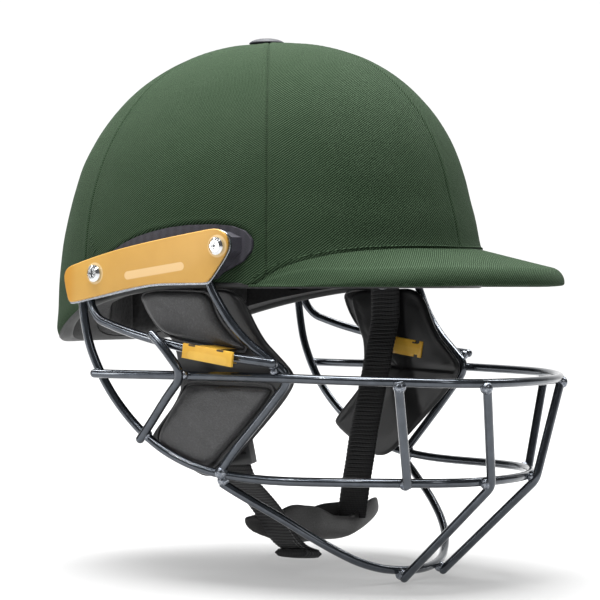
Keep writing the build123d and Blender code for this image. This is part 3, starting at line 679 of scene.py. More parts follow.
for name, ob in N.items():
    mat = None
    if name.startswith("grille_welds"):
        mat = M_WELD
    elif name.startswith("grille_flange"):
        mat = M_FLANGE
    elif name.startswith("grille_"):
        mat = M_WIRE
    elif name.startswith("plate_screws"):
        mat = M_CHROME
    elif name.startswith("side_spacer"):
        mat = M_SPACER
    elif name.startswith("strap_bracket") or name == "shell":
        mat = M_SHELL
    elif name.startswith("strap_rivet") or name.startswith("tee_nuts"):
        mat = M_RIVET
    elif name == "impact_liner" or name == "peak_core":
        mat = M_FOAM
    elif name == "strap_buckle":
        mat = M_BUCKLE
    if mat is not None:
        ob.data.materials.clear()
        ob.data.materials.append(mat)
        ob.data.polygons.foreach_set("use_smooth", [True] * len(ob.data.polygons))
        try:
            ob.data.set_sharp_from_angle(angle=math.radians(35))
        except AttributeError:
            pass

# ------------------------------------------------------------------ camera
AZ = math.radians(-55.0)
look = Vector((-math.sin(AZ), math.cos(AZ), 0.0))
side = Vector((math.cos(AZ), math.sin(AZ), 0.0))
cam_data = bpy.data.cameras.new("camera")
cam_data.sensor_width = 36.0
cam_data.lens = 2088.0 / 600.0 * 36.0
cam_data.clip_start = 0.05
cam_data.clip_end = 30.0
cam = bpy.data.objects.new("camera", cam_data)
scene.collection.objects.link(cam)
pitch = math.atan(13.0 / 2088.0)
forward = look * math.cos(pitch) + Vector((0, 0, -math.sin(pitch)))
upv = side.cross(forward)
cam.matrix_world = Matrix((
    (side.x, upv.x, -forward.x, 0), (side.y, upv.y, -forward.y, 0), (side.z, upv.z, -forward.z, 0), (0, 0, 0, 1)))
cam.location = look * -1.2 + side * 0.01897
scene.camera = cam

# ------------------------------------------------------------------ cloth cover
SEAMS = [math.radians(a) for a in (0.0, 60.0, 118.0, 180.0, 242.0, 300.0)]


def root_s(phi):
    """arc length on the dome where the peak's upper surface meets it (or None)"""
    s = np.linspace(-1.0, 40.0, 420)
    p = dome(phi, s)
    g = arch_f(p[:, 0]) + PEAK_SLOPE * (p[:, 1] - ARCH_Y) - p[:, 2]
    k = np.where(g < 0)[0]
    return float(s[k[0]]) if len(k) else 40.0


def cover():
    steps = [0, 0.35, 0.7, 1.05, 1.5, 2.1, 2.9, 4.0, 5.5, 7.5, 10.0]
    phis = []
    for i, a in enumerate(SEAMS):
        b = SEAMS[(i + 1) % 6] + (2 * math.pi if i == 5 else 0)
        mid = (a + b) / 2
        speed = math.hypot(B * math.cos(mid), A * math.sin(mid))
        half = (b - a) / 2
        off = [q / speed for q in steps]
        n = max(2, int((half - off[-1]) * speed / 3.2))
        rest = [off[-1] + (half - off[-1]) * j / n for j in range(1, n + 1)]
        first = off + rest
        phis += [a + q for q in first]
        phis += [b - q for q in reversed(first[1:-1])]
    phis = np.array(phis)
    edge = np.array([0, .25, .5, .8, 1.2, 1.8, 2.6, 3.6, 5.0, 6.8, 9.0])
    total = 96
    w = np.concatenate([edge, 9.0 + (S_TOP - 9.0) * (np.arange(1, total + 1) / total)])
    nphi, ns = len(phis), len(w)
    rimy = DY - A * np.cos(phis)
    s_rim = rim_v(rimy)
    backs = ease(np.abs(np.degrees((phis + math.pi) % (2 * math.pi) - math.pi)), 108, 145)
    P = np.zeros((nphi, ns, 3))
    W = np.zeros((nphi, ns, 3))
    recess = chaikin(RECESS, 2)
    roots = np.array([root_s(((q + math.pi) % (2 * math.pi)) - math.pi) for q in phis])
    seam_a = np.array(SEAMS + [2 * math.pi])
    for i, q in enumerate(phis):
        s = s_rim[i] + w * (S_TOP - s_rim[i]) / S_TOP
        s[-1] = S_TOP - 0.4
        r, z = profile(s)
        base = dome(q, s)
        speed = math.hypot(B * math.cos(q), A * math.sin(q))
        k = np.argmin(np.abs(seam_a - q))
        x = (q - seam_a[k]) * speed * r
        ax = np.abs(x)
        fade = np.clip((r - 0.05) / 0.12, 0, 1)
        d = fade * (-0.62 * np.exp(-(ax / 0.62) ** 2) + 0.20 * np.exp(-((ax - 2.2) / 1.5) ** 2)
                    + 0.07 * np.sin(2 * math.pi * s / 4.2) * np.exp(-(ax / 3.0) ** 2))
        # the cloth is eased over the joint with the peak
        above = s - roots[i]
        d += np.where((above > -3) & (roots[i] < 30) & (roots[i] > 0.2), 1.15 * np.exp(-np.clip(above, 0, 50) / 3.4), 0)
        # it tucks in round the moulded spacer
        ds = poly_dist(base[:, 1], base[:, 2], recess)
        sides = np.abs(base[:, 0]) > 60
        d += np.where(sides, 0.42 * np.exp(-((ds - 1.6) / 1.3) ** 2) - 1.5 * np.clip(0.5 - ds / 1.2, 0, 1), 0)
        # faint drag lines from the spacer's front corner
        ang = np.arctan2(base[:, 2] - 22.0, -(base[:, 1] + 56.0))
        rad = np.hypot(base[:, 2] - 22.0, base[:, 1] + 56.0)
        d += np.where(sides & (base[:, 1] < -56), 0.16 * np.sin(ang * 11.0) * np.exp(-((rad - 11) / 9.0) ** 2), 0)
        d += nz(base, 0.022, 0.55, 3.1) + nz(base, 0.075, 0.14, 9.7)
        # rounded lower edge
        d += -1.0 * np.clip(1 - w / 0.8, 0, 1) ** 2 - 2.0 * backs[i] * np.clip(1 - w / 6.0, 0, 1) ** 2
        P[i] = skin(q, s, d)
        left = int(np.searchsorted(seam_a, q + 1e-6)) - 1
        W[i, :, 0] = (q - seam_a[left]) * 115.0 * np.clip(r, 0.25, 1) + 300.0 * left
        W[i, :, 1] = s
    V = P.reshape(-1, 3)
    F = grid_faces(nphi, ns, wrap_u=True)
    top = len(V)
    V = np.vstack([V, [[0, DY * 0, H + 0.02]]])
    F += [(i * ns + ns - 1, ((i + 1) % nphi) * ns + ns - 1, top) for i in range(nphi)]
    # inner face of the cloth, up behind the edge
    inner = np.zeros((nphi, 4, 3))
    for j, (up, dd) in enumerate(((0.15, -1.15), (1.5, -1.12), (5.0, -1.12), (9.0, -1.10))):
        inner[:, j] = np.array([skin(q, s_rim[i] + up, dd - (1.6 if up < 1 else 0.4) * backs[i])
                                for i, q in enumerate(phis)])
    b0 = len(V)
    V = np.vstack([V, inner.reshape(-1, 3)])
    F += grid_faces(nphi, 4, wrap_u=True, base=b0)
    F += [(i * ns, ((i + 1) % nphi) * ns, b0 + ((i + 1) % nphi) * 4, b0 + i * 4) for i in range(nphi)]
    WV = np.vstack([W.reshape(-1, 3), [[0, S_TOP, 0]], np.repeat(W[:, :1], 4, 1).reshape(-1, 3)])
    ob = make("cover_cloth", V, F, M_CLOTH, WV)
    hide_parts("fabric_cover")
    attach(ob, "helmet")
    # six gores of about 125 by 210 mm side by side, pulled over the shell
    return ob


cover_ob = cover()


def shell_skin():
    """moulded shell under the cloth"""
    n, m = 200, 60
    V = []
    qs = [2 * math.pi * i / n for i in range(n)]
    for q in qs:
        lo = float(rim_v(DY - A * math.cos(q))) + 0.3
        s = lo + (S_TOP - 0.6 - lo) * (np.arange(m) / (m - 1)) ** 1.2
        V.append(skin(q, s, -1.35))
        V.append(dome(q, s, -O1 + 0.05))
    V = np.array(V).reshape(n, 2, m, 3)
    out, inn = V[:, 0].reshape(-1, 3), V[:, 1].reshape(-1, 3)
    F = grid_faces(n, m, wrap_u=True) + grid_faces(n, m, wrap_u=True, base=n * m)
    o = n * m
    F += [(i * m, ((i + 1) % n) * m, o + ((i + 1) % n) * m, o + i * m) for i in range(n)]
    F += [tuple(i * m + m - 1 for i in range(n)), tuple(o + i * m + m - 1 for i in reversed(range(n)))]
    ob = make("shell_moulding", np.vstack([out, inn]), F, M_SHELL)
    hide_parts("shell")
    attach(ob, "helmet")


shell_skin()

# ------------------------------------------------------------------ peak
_out = chaikin([(-x, y) for x, y in reversed(PEAK[1:])] + PEAK, 3, closed=False)
_th = np.arctan2(_out[:, 0] / B, -(_out[:, 1] - DY) / A)
_rho = np.hypot(_out[:, 0] / B, (_out[:, 1] - DY) / A)


def peak():
    lim = math.radians(64.5)
    base = np.linspace(-1, 1, 181)
    phis = lim * np.sign(base) * np.abs(base) ** 0.86
    tt = np.array([0, .08, .18, .3, .42, .54, .64, .72, .79])
    V, W = [], []
    for q in phis:
        ro = float(np.interp(q, _th, _rho))
        scale = math.hypot(B * math.sin(q), A * math.cos(q))
        width = (ro - 0.985) * scale
        ring = []
        e_top = np.array([7.0, 5.6, 4.4, 3.3, 2.4, 1.6, 0.95, 0.45, 0.12, 0.0])
        e_low = np.array([0.0, 0.12, 0.4, 0.85, 1.5, 2.2, 3.2])
        cap = min(1.0, width * 0.42 / 7.0)
        stations = [("t", 0.985 + (width - 7.0 * cap) * t / 0.79 * 1.0 / scale) for t in tt]
        stations += [("t", ro - e * cap / scale) for e in e_top]
        stations += [("b", ro - e * cap / scale) for e in e_low[1:]]
        inner = 0.985 + (width - 3.2 * cap) * np.array([0.85, 0.65, 0.45, 0.25, 0.1, 0.0]) / scale
        stations += [("b", v) for v in inner]
        for kind, rho in stations:
            x, y = B * rho * math.sin(q), DY - A * rho * math.cos(q)
            top = float(arch_f(x)) + PEAK_SLOPE * (y - ARCH_Y)
            # the side edge keeps its body where the arch runs down to it
            top = max(top, 1.4)
            low = max(0.0, top - PEAK_T)
            e = (ro - rho) * scale / max(cap, 0.05)
            thick = top - low
            mid = low + 0.26 * thick
            if kind == "t":
                z = mid + (top - mid) * math.sqrt(max(0.0, 1 - (1 - min(1.0, e / 7.0)) ** 2.2))
            else:
                z = mid - (mid - low) * math.sqrt(max(0.0, 1 - (1 - min(1.0, e / 3.2)) ** 2.4))
            ring.append((x, y, z))
            W.append((x, y * 1.0 + z * 0.8, 0))
        V.append(ring)
    V = np.array(V)
    nphi, k = V.shape[0], V.shape[1]
    P = V.reshape(-1, 3)
    P[:, 2] += nz(P, 0.03, 0.35, 5.5) * np.clip((P[:, 2] - 1.0) / 4.0, 0, 1)
    F = grid_faces(nphi, k, wrap_v=True)
    F.append(tuple(range(k)))
    F.append(tuple((nphi - 1) * k + j for j in reversed(range(k))))
    ob = make("peak_cloth", P, F, M_CLOTH, np.array(W))
    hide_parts("peak_cover", "peak_core")
    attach(ob, "helmet")
    # folded edge of the cap cloth where it is sewn down over the peak
    pts = []
    for q in np.linspace(math.radians(-63.2), math.radians(63.2), 170):
        s = root_s(q)
        if s < 39:
            pts.append(dome(q, s + 0.55, 1.05))
    v, f = tube(np.array(pts), 0.62, 8)
    W2 = np.stack([v[:, 0], v[:, 2] * 1.3, v[:, 1] * 0], -1)
    lip = make("peak_seam_fold", v, f, M_CLOTH, W2)
    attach(lip, "helmet")
    # thin strip under the fold, drawn as a green sewing thread and standing in for the shade line where the fold meets
    # the peak
    pts2 = [dome(q, root_s(q) - 0.25, 0.85) for q in np.linspace(math.radians(-62.8), math.radians(62.8), 170)]
    v, f = tube(np.array(pts2), 0.42, 6)
    line = make("peak_seam_shade_line", v, f, M_SEAM_SHADE_THREAD)
    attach(line, "helmet")
    return ob


peak_ob = peak()


# ------------------------------------------------------------------ edge binding
def binding():
    n = 300
    prof = [(0.18, 1.3), (0.32, 0.4), (0.25, -0.6), (-0.35, -1.35), (-1.4, -1.68), (-2.9, -1.68), (-3.85, -1.35),
            (-4.45, -0.6), (-4.5, 0.6), (-4.45, 3.2), (-4.2, 3.5), (-4.1, 0.2), (-0.2, 0.2), (-0.1, 1.3)]
    V = []
    for i in range(n):
        q = 2 * math.pi * i / n
        z0 = float(rim_v(DY - A * math.cos(q)))
        k = float(ease(abs(math.degrees((q + math.pi) % (2 * math.pi) - math.pi)), 108, 145))
        for d, dz in prof:
            w = min(1.0, max(0.0, (d + 4.4) / 4.4))
            V.append(dome(q, z0 + dz, d - 2.3 * k * w + w * float(extra(q, z0 + dz))))
    F = grid_faces(n, len(prof), wrap_u=True, wrap_v=True)
    ob = make("rim_edge_binding", np.array(V), F, M_TRIM)
    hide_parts("rim_binding")
    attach(ob, "helmet")


binding()


# ------------------------------------------------------------------ crown button
def button():
    prof = [(0.0, 3.45), (2.4, 3.38), (4.8, 3.12), (7.0, 2.62), (8.6, 2.0), (9.6, 1.42), (10.1, 0.92), (10.2, 0.5),
            (10.0, 0.14), (9.4, 0.0), (0.0, 0.0)]
    z0 = H + 0.1
    k = 64
    V, F = [(0, 0, z0 + prof[0][1])], []
    for r, z in prof[1:-1]:
        for j in range(k):
            a = 2 * math.pi * j / k
            V.append((r * math.cos(a), r * math.sin(a), z0 + z))
    V.append((0, 0, z0))
    m = len(prof) - 2
    F += [(0, 1 + j, 1 + (j + 1) % k) for j in range(k)]
    F += [(1 + i * k + j, 1 + (i + 1) * k + j, 1 + (i + 1) * k + (j + 1) % k, 1 + i * k + (j + 1) % k)
          for i in range(m - 1) for j in range(k)]
    F += [(len(V) - 1, 1 + (m - 1) * k + (j + 1) % k, 1 + (m - 1) * k + j) for j in range(k)]
    ob = make("button_dome", np.array(V), F, M_BUTTON)
    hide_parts("crown_button")
    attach(ob, "helmet")


button()

def resample(poly, n):
    p = np.vstack([poly, poly[:1]])
    L = np.concatenate([[0], np.cumsum(np.hypot(*np.diff(p, axis=0).T))])
    t = np.linspace(0, L[-1], n, endpoint=False)
    return np.stack([np.interp(t, L, p[:, 0]), np.interp(t, L, p[:, 1])], -1)


# ------------------------------------------------------------------ hard pieces with eased edges
PLATE = [(61.6, 9.6), (46.0, 14.3), (22.3, 20.0), (-5.3, 24.9), (-30.0, 28.6), (-44.6, 30.8), (-50.2, 28.6),
         (-52.4, 24.0), (-52.0, 18.2), (-40.4, 3.2), (-37.8, 2.2), (-30.0, 2.1), (-5.3, 1.9), (13.2, -0.7), (34.0, -4.7),
         (54.6, -8.6), (57.4, -7.6)]


def slab(outline, x_in, x_out, edge, holes=()):
    """flat plate with rounded edges: rings of the outline, then the face, bent on a gentle drum"""
    b = resample(chaikin(outline, 3), 260)
    tn = np.roll(b, -1, 0) - np.roll(b, 1, 0)
    nn = np.stack([tn[:, 1], -tn[:, 0]], -1) / (np.hypot(*tn.T)[:, None] + 1e-9)
    area2 = np.sum(b[:, 0] * np.roll(b[:, 1], -1) - np.roll(b[:, 0], -1) * b[:, 1])
    nn = nn if area2 > 0 else -nn
    rings = []
    for a in np.linspace(0, math.pi / 2, 5):
        rings.append((-edge * (1 - math.sin(a)), x_in + edge * (1 - math.cos(a))))
    for a in np.linspace(math.pi / 2, 0, 6):
        rings.append((-edge * (1 - math.sin(a)), x_out - edge * (1 - math.cos(a))))
    V = []
    for off, x in rings:
        q = b + nn * off
        V.append(np.stack([x - q[:, 0] ** 2 / 1800.0, q[:, 0], q[:, 1]], -1))
    n = len(b)
    F = grid_faces(len(rings), n, wrap_v=True)
    F += [tuple(range(n)), tuple((len(rings) - 1) * n + j for j in reversed(range(n)))]
    return np.array(V).reshape(-1, 3), F


def side_plates():
    fl = [(y + (0.5 if y > 50 else 0), z - 0.95 - 0.2 * (y < 30)) if z < 12 else (y - 0.75 * (y < -43), z - 0.3)
          for y, z in PLATE]
    for sd, k in (("left", 1), ("right", -1)):
        v, f = slab(PLATE, 107.4, 109.0, 0.6)
        ob = make("plate_" + sd, v * np.array([k, 1, 1]), f, M_PLATE)
        ob.data.set_sharp_from_angle(angle=math.radians(60)) if hasattr(ob.data, "set_sharp_from_angle") else None
        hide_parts("side_plate_" + sd)
        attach(ob, "helmet")
        v, f = slab(fl, 105.9, 107.35, 0.35)
        ob = make("flange_" + sd, v * np.array([k, 1, 1]), f, M_FLANGE)
        ob.data.set_sharp_from_angle(angle=math.radians(60)) if hasattr(ob.data, "set_sharp_from_angle") else None
        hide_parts("grille_flange_" + sd)
        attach(ob, "helmet")


side_plates()
for sd in ("left", "right"):
    soft_copy("pad_clip_" + sd, 0.22, M_CLIP, 2)
soft_copy("strap_buckle", 0.45, M_BUCKLE, 3)

# ------------------------------------------------------------------ cheek pads
PN = np.array([1.0, -0.09, -0.09]) / math.sqrt(1 + 2 * 0.0081)


def on_board(y, z, c, h):
    """point h millimetres proud of the board plane x = c + 0.09 y + 0.09 z"""
    p = np.stack([c + 0.09 * y + 0.09 * z, y, z], -1)
    return p + PN * np.asarray(h)[..., None]


def radial(outline, centre, n, rings):
    """rings of points from the outline to its centre"""
    b = resample(chaikin(outline, 3), n)
    c = np.array(centre, float)
    return np.array([c + (b - c) * s for s in rings]), b


RINGS = [1.0, 0.985, 0.965, 0.94, 0.91, 0.87, 0.82, 0.76, 0.69, 0.61, 0.52, 0.43, 0.34, 0.25, 0.17, 0.09, 0.04]


def pad_height(y, z, poly, h, soft, seed):
    d = -poly_dist(y, z, poly)
    t = np.clip(d / soft, 0, 1)
    base = h * np.sqrt(np.clip(1 - (1 - t) ** 2.3, 0, 1))
    p = np.stack([y, z, y * 0 + seed], -1)
    wob = nz(p, 0.05, 0.7, seed) + nz(p, 0.14, 0.28, seed + 4)
    return base * (1 + 0.10 * np.clip((d - soft) / 8, 0, 1)) + wob * np.clip(d / 6, 0, 1)


def cushion(name, node, outline, centre, h, creases, seed, mirror):
    n = 220
    g, b = radial(outline, centre, n, RINGS)
    y, z = g[..., 0], g[..., 1]
    poly = chaikin(outline, 3)
    hh = pad_height(y.ravel(), z.ravel(), poly, h, 5.2, seed).reshape(y.shape)
    for (y0, z0, y1, z1, depth, wid) in creases:
        ex, ez = y1 - y0, z1 - z0
        L2 = ex * ex + ez * ez
        t = ((y - y0) * ex + (z - z0) * ez) / L2
        dist = np.abs((y - y0) * ez - (z - z0) * ex) / math.sqrt(L2)
        fall = np.exp(-np.clip(np.abs(t - 0.5) - 0.5, 0, 9) * 6)
        hh = hh - depth * np.exp(-(dist / wid) ** 2) * fall * np.clip(hh / h, 0, 1)
    top = on_board(y, z, BOARD_C + 0.1, np.clip(hh, 0.0, None))
    k = len(RINGS)
    V = top.reshape(-1, 3)
    F = grid_faces(k, n, wrap_v=True)
    ctr = len(V)
    V = np.vstack([V, top[-1].mean(0)[None] + PN * 0.05])
    F += [(ctr, (k - 1) * n + j, (k - 1) * n + (j + 1) % n) for j in range(n)]
    # flat back on the board
    back = on_board(b[:, 0], b[:, 1], BOARD_C + 0.05, np.zeros(n))
    b0 = len(V)
    V = np.vstack([V, back, on_board(np.array([centre[0]]), np.array([centre[1]]), BOARD_C + 0.05, np.zeros(1))])
    F += [(j, (j + 1) % n, b0 + (j + 1) % n, b0 + j) for j in range(n)]
    F += [(b0 + n, b0 + j, b0 + (j + 1) % n) for j in range(n)]
    # welt round the cushion
    off = resample(poly, 260)
    tn = np.roll(off, -1, 0) - np.roll(off, 1, 0)
    nn = np.stack([tn[:, 1], -tn[:, 0]], -1) / (np.hypot(*tn.T)[:, None] + 1e-9)
    ccw = np.sum(off[:, 0] * np.roll(off[:, 1], -1) - np.roll(off[:, 0], -1) * off[:, 1]) > 0
    sgn = 1 if ccw else -1
    wide = off + nn * 1.9 * sgn
    ok = poly_dist(wide[:, 0], wide[:, 1], chaikin(BOARD, 3)) < -1.1
    k1 = np.convolve(np.tile(ok.astype(float), 3), np.ones(15) / 15, "same")[len(off):2 * len(off)]
    off = off + nn * sgn * (0.5 + 1.4 * k1[:, None])
    w, fw = tube(on_board(off[:, 0], off[:, 1], BOARD_C, np.full(len(off), 0.30)), 0.70, 8, closed=True)
    V, F = join_parts([(V, F), (w, fw)])
    if mirror:
        V = V * np.array([-1.0, 1, 1])
    ob = make(name, V, F, M_LEATHER)
    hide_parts(node)
    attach(ob, "helmet")
    return ob


def board(name, node, mirror):
    n = 300
    rings = [1.0, 0.985, 0.965, 0.94, 0.9, 0.84, 0.76, 0.66, 0.55, 0.43, 0.31, 0.2, 0.1, 0.04]
    centre = (-38.0, -50.0)
    g, b = radial(BOARD, centre, n, rings)
    poly = chaikin(BOARD, 3)
    y, z = g[..., 0], g[..., 1]
    d = -poly_dist(y.ravel(), z.ravel(), poly).reshape(y.shape)
    edge = np.sqrt(np.clip(1 - (1 - np.clip(d / 2.0, 0, 1)) ** 2.2, 0, 1))
    p = np.stack([y.ravel(), z.ravel(), y.ravel() * 0 + 2.0], -1)
    wob = (nz(p, 0.045, 0.55, 21.0) + nz(p, 0.13, 0.2, 31.0)).reshape(y.shape)
    half = BOARD_T / 2
    front = half * edge - 0.12
    # the inner face is softly padded, with a crease at the upper bar
    crease = 0.75 * np.exp(-((z + 47.0 - 0.05 * (y + 30)) / 1.3) ** 2) * np.clip(d / 5, 0, 1)
    seam = 0.5 * np.exp(-((d - 4.2) / 0.8) ** 2)
    back = half * edge + (0.55 + wob) * np.clip(d / 7, 0, 1) - crease - seam
    P1 = on_board(y, z, BOARD_C - half, front)
    P2 = on_board(y, z, BOARD_C - half, -back)
    k = len(rings)
    V = np.vstack([P1.reshape(-1, 3), P2.reshape(-1, 3), P1[-1].mean(0)[None], P2[-1].mean(0)[None]])
    F = grid_faces(k, n, wrap_v=True) + grid_faces(k, n, wrap_v=True, base=k * n)
    F += [(j, (j + 1) % n, k * n + (j + 1) % n, k * n + j) for j in range(n)]
    c1, c2 = 2 * k * n, 2 * k * n + 1
    F += [(c1, (k - 1) * n + j, (k - 1) * n + (j + 1) % n) for j in range(n)]
    F += [(c2, k * n + (k - 1) * n + (j + 1) % n, k * n + (k - 1) * n + j) for j in range(n)]
    if mirror:
        V = V * np.array([-1.0, 1, 1])
    ob = make(name, V, F, M_BOARD)
    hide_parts(node)
    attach(ob, "helmet")
    return ob


for sd, mir in (("left", False), ("right", True)):
    board("cheek_board_padded_" + sd, "cheek_pad_board_" + sd, mir)
    cushion("cheek_cushion_top_" + sd, "cheek_cushion_upper_" + sd, CUSH_U, (-18.0, -18.0), 4.3,
            [(-34, -22, -2, -8, 0.35, 2.2), (-26, -26, 0, -20, 0.3, 1.8)], 1.0, mir)
    cushion("cheek_cushion_low_" + sd, "cheek_cushion_lower_" + sd, CUSH_L, (-24.0, -74.0), 5.0,
            [(-52, -58, -36, -53, 0.7, 1.8), (-10, -66, -30, -84, 0.25, 2.5)], 7.0, mir)


# ------------------------------------------------------------------ chin strap
def bezier_path(route, step):
    """quadratic spline with the route's corners as its control points, evenly sampled"""
    P = [np.array(p, float) for p in route]
    seg = []
    for i in range(1, len(P) - 1):
        a = P[0] if i == 1 else (P[i - 1] + P[i]) / 2
        c = P[-1] if i == len(P) - 2 else (P[i] + P[i + 1]) / 2
        t = np.linspace(0, 1, 40)[:, None]
        seg.append((1 - t) ** 2 * a + 2 * t * (1 - t) * P[i] + t * t * c)
    q = np.vstack(seg)
    L = np.concatenate([[0], np.cumsum(np.linalg.norm(np.diff(q, axis=0), axis=1))])
    keep = np.concatenate([[True], np.diff(L) > 1e-6])
    q, L = q[keep], L[keep]
    n = int(L[-1] / step) + 1
    s = np.linspace(0, L[-1], n)
    return np.stack([np.interp(s, L, q[:, i]) for i in range(q.shape[1])], -1), s


def leaned(p):
    """the strap's own plane leans forward as it falls"""
    q = np.array(p, float)
    y, z = q[..., 1], q[..., 2] - PIVOT[1]
    c, s = math.cos(-LEAN), math.sin(-LEAN)
    out = q.copy()
    out[..., 1] = PIVOT[0] + y * c - z * s
    out[..., 2] = PIVOT[1] + y * s + z * c
    return out


RIB = 2.5


def webbing(name, node, route, cut=0.0, round_top=True):
    path, s = bezier_path(route, 0.3)
    n = len(path)
    tan = np.gradient(path, axis=0)
    tan /= np.linalg.norm(tan, axis=1)[:, None]
    nor = np.stack([-tan[:, 1], tan[:, 0]], -1)
    m = 15
    cols = np.linspace(-1, 1, m)
    V, W = [], []
    for i in range(n):
        rib = abs(math.sin(math.pi * s[i] / RIB)) ** 0.7
        half_w = 9.75 + 0.28 * rib
        if round_top and s[i] < 9.0:
            pass
        for sgn in (1, -1):
            for c in (cols if sgn == 1 else cols[::-1]):
                e = 1 - abs(c) ** 10
                slant = 0.35 * math.sin(c * 3.0)
                rb = abs(math.sin(math.pi * (s[i] + slant) / RIB)) ** 0.7
                t = (0.52 + 0.38 * rb) * max(0.25, e) * (1.0 + 0.18 * (abs(c) > 0.86))
                yy = c * half_w + 0.10 * math.sin(s[i] * 0.21)
                xx = path[i, 0] + nor[i, 0] * sgn * t
                zz = path[i, 1] + nor[i, 1] * sgn * t
                V.append((xx, yy, zz))
                W.append((c * 10.0, s[i], 0))
    k = 2 * m
    V = leaned(np.array(V))
    F = grid_faces(n, k, wrap_v=True)
    F.append(tuple(range(k)))
    F.append(tuple((n - 1) * k + j for j in reversed(range(k))))
    parts = [(V, F)]
    # rounded, stitched tab round the rivet
    x0 = route[0][0]
    disc, fd = [], []
    kk = 40
    for sx in (0.95, -0.95):
        for j in range(kk):
            a = 2 * math.pi * j / kk
            disc.append((x0 + sx, 9.9 * math.cos(a), PIVOT[1] + 9.9 * math.sin(a)))
    fd = grid_faces(2, kk, wrap_v=True)
    inner = []
    for sx in (0.95, -0.95):
        for j in range(kk):
            a = 2 * math.pi * j / kk
            inner.append((x0 + sx, 2.6 * math.cos(a), PIVOT[1] + 2.6 * math.sin(a)))
    fd += [(j, (j + 1) % kk, 2 * kk + (j + 1) % kk, 2 * kk + j) for j in range(kk)]
    fd += [(kk + j, kk + (j + 1) % kk, 3 * kk + (j + 1) % kk, 3 * kk + j) for j in range(kk)]
    fd += [(2 * kk + j, 2 * kk + (j + 1) % kk, 3 * kk + (j + 1) % kk, 3 * kk + j) for j in range(kk)]
    parts.append((leaned(np.array(disc + inner)), fd))
    V, F = join_parts(parts)
    W = np.vstack([np.array(W), np.array([(q[1], q[2], 0) for q in disc + inner])])
    ob = make(name, V, F, M_WEB, W)
    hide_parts(node)
    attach(ob, "chin_strap")
    return path, s


webbing("webbing_left", "strap_webbing_left", LEFT)
webbing("webbing_right", "strap_webbing_right", RIGHT)


def stitches(name, pts, normal, length, r, body, mat, gap=1.0):
    """short thread bars along a line of points"""
    parts = []
    P = np.asarray(pts, float)
    L = np.concatenate([[0], np.cumsum(np.linalg.norm(np.diff(P, axis=0), axis=1))])
    s = 0.6
    while s + length < L[-1]:
        q = [np.array([np.interp(s + length * t, L, P[:, i]) for i in range(3)]) + np.asarray(normal) * h
             for t, h in ((0, -0.1), (0.2, 0.22), (0.5, 0.3), (0.8, 0.22), (1, -0.1))]
        parts.append(tube(np.array(q), r, 6))
        s += length + gap
    v, f = join_parts(parts)
    ob = make(name, v, f, mat)
    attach(ob, body)
    return ob


# chin cup: soft leather trough slung between the two runs
cup_top = hermite([(-1.0, -126.6), (-0.75, -122.6), (-0.5, -120.4), (-0.28, -121.6), (0.0, -125.8), (0.21, -129.4),
                   (0.45, -131.0), (0.66, -127.8), (0.84, -123.8), (1.0, -122.8)])
cup_back = hermite([(-1.0, -125.6), (-0.6, -126.4), (0.0, -130.4), (0.3, -127.4), (0.6, -125.8), (1.0, -125.0)])
strap_x = hermite([(z, x) for x, z in sorted([(x, z) for x, z in RIGHT[3:]], key=lambda q: q[1])])


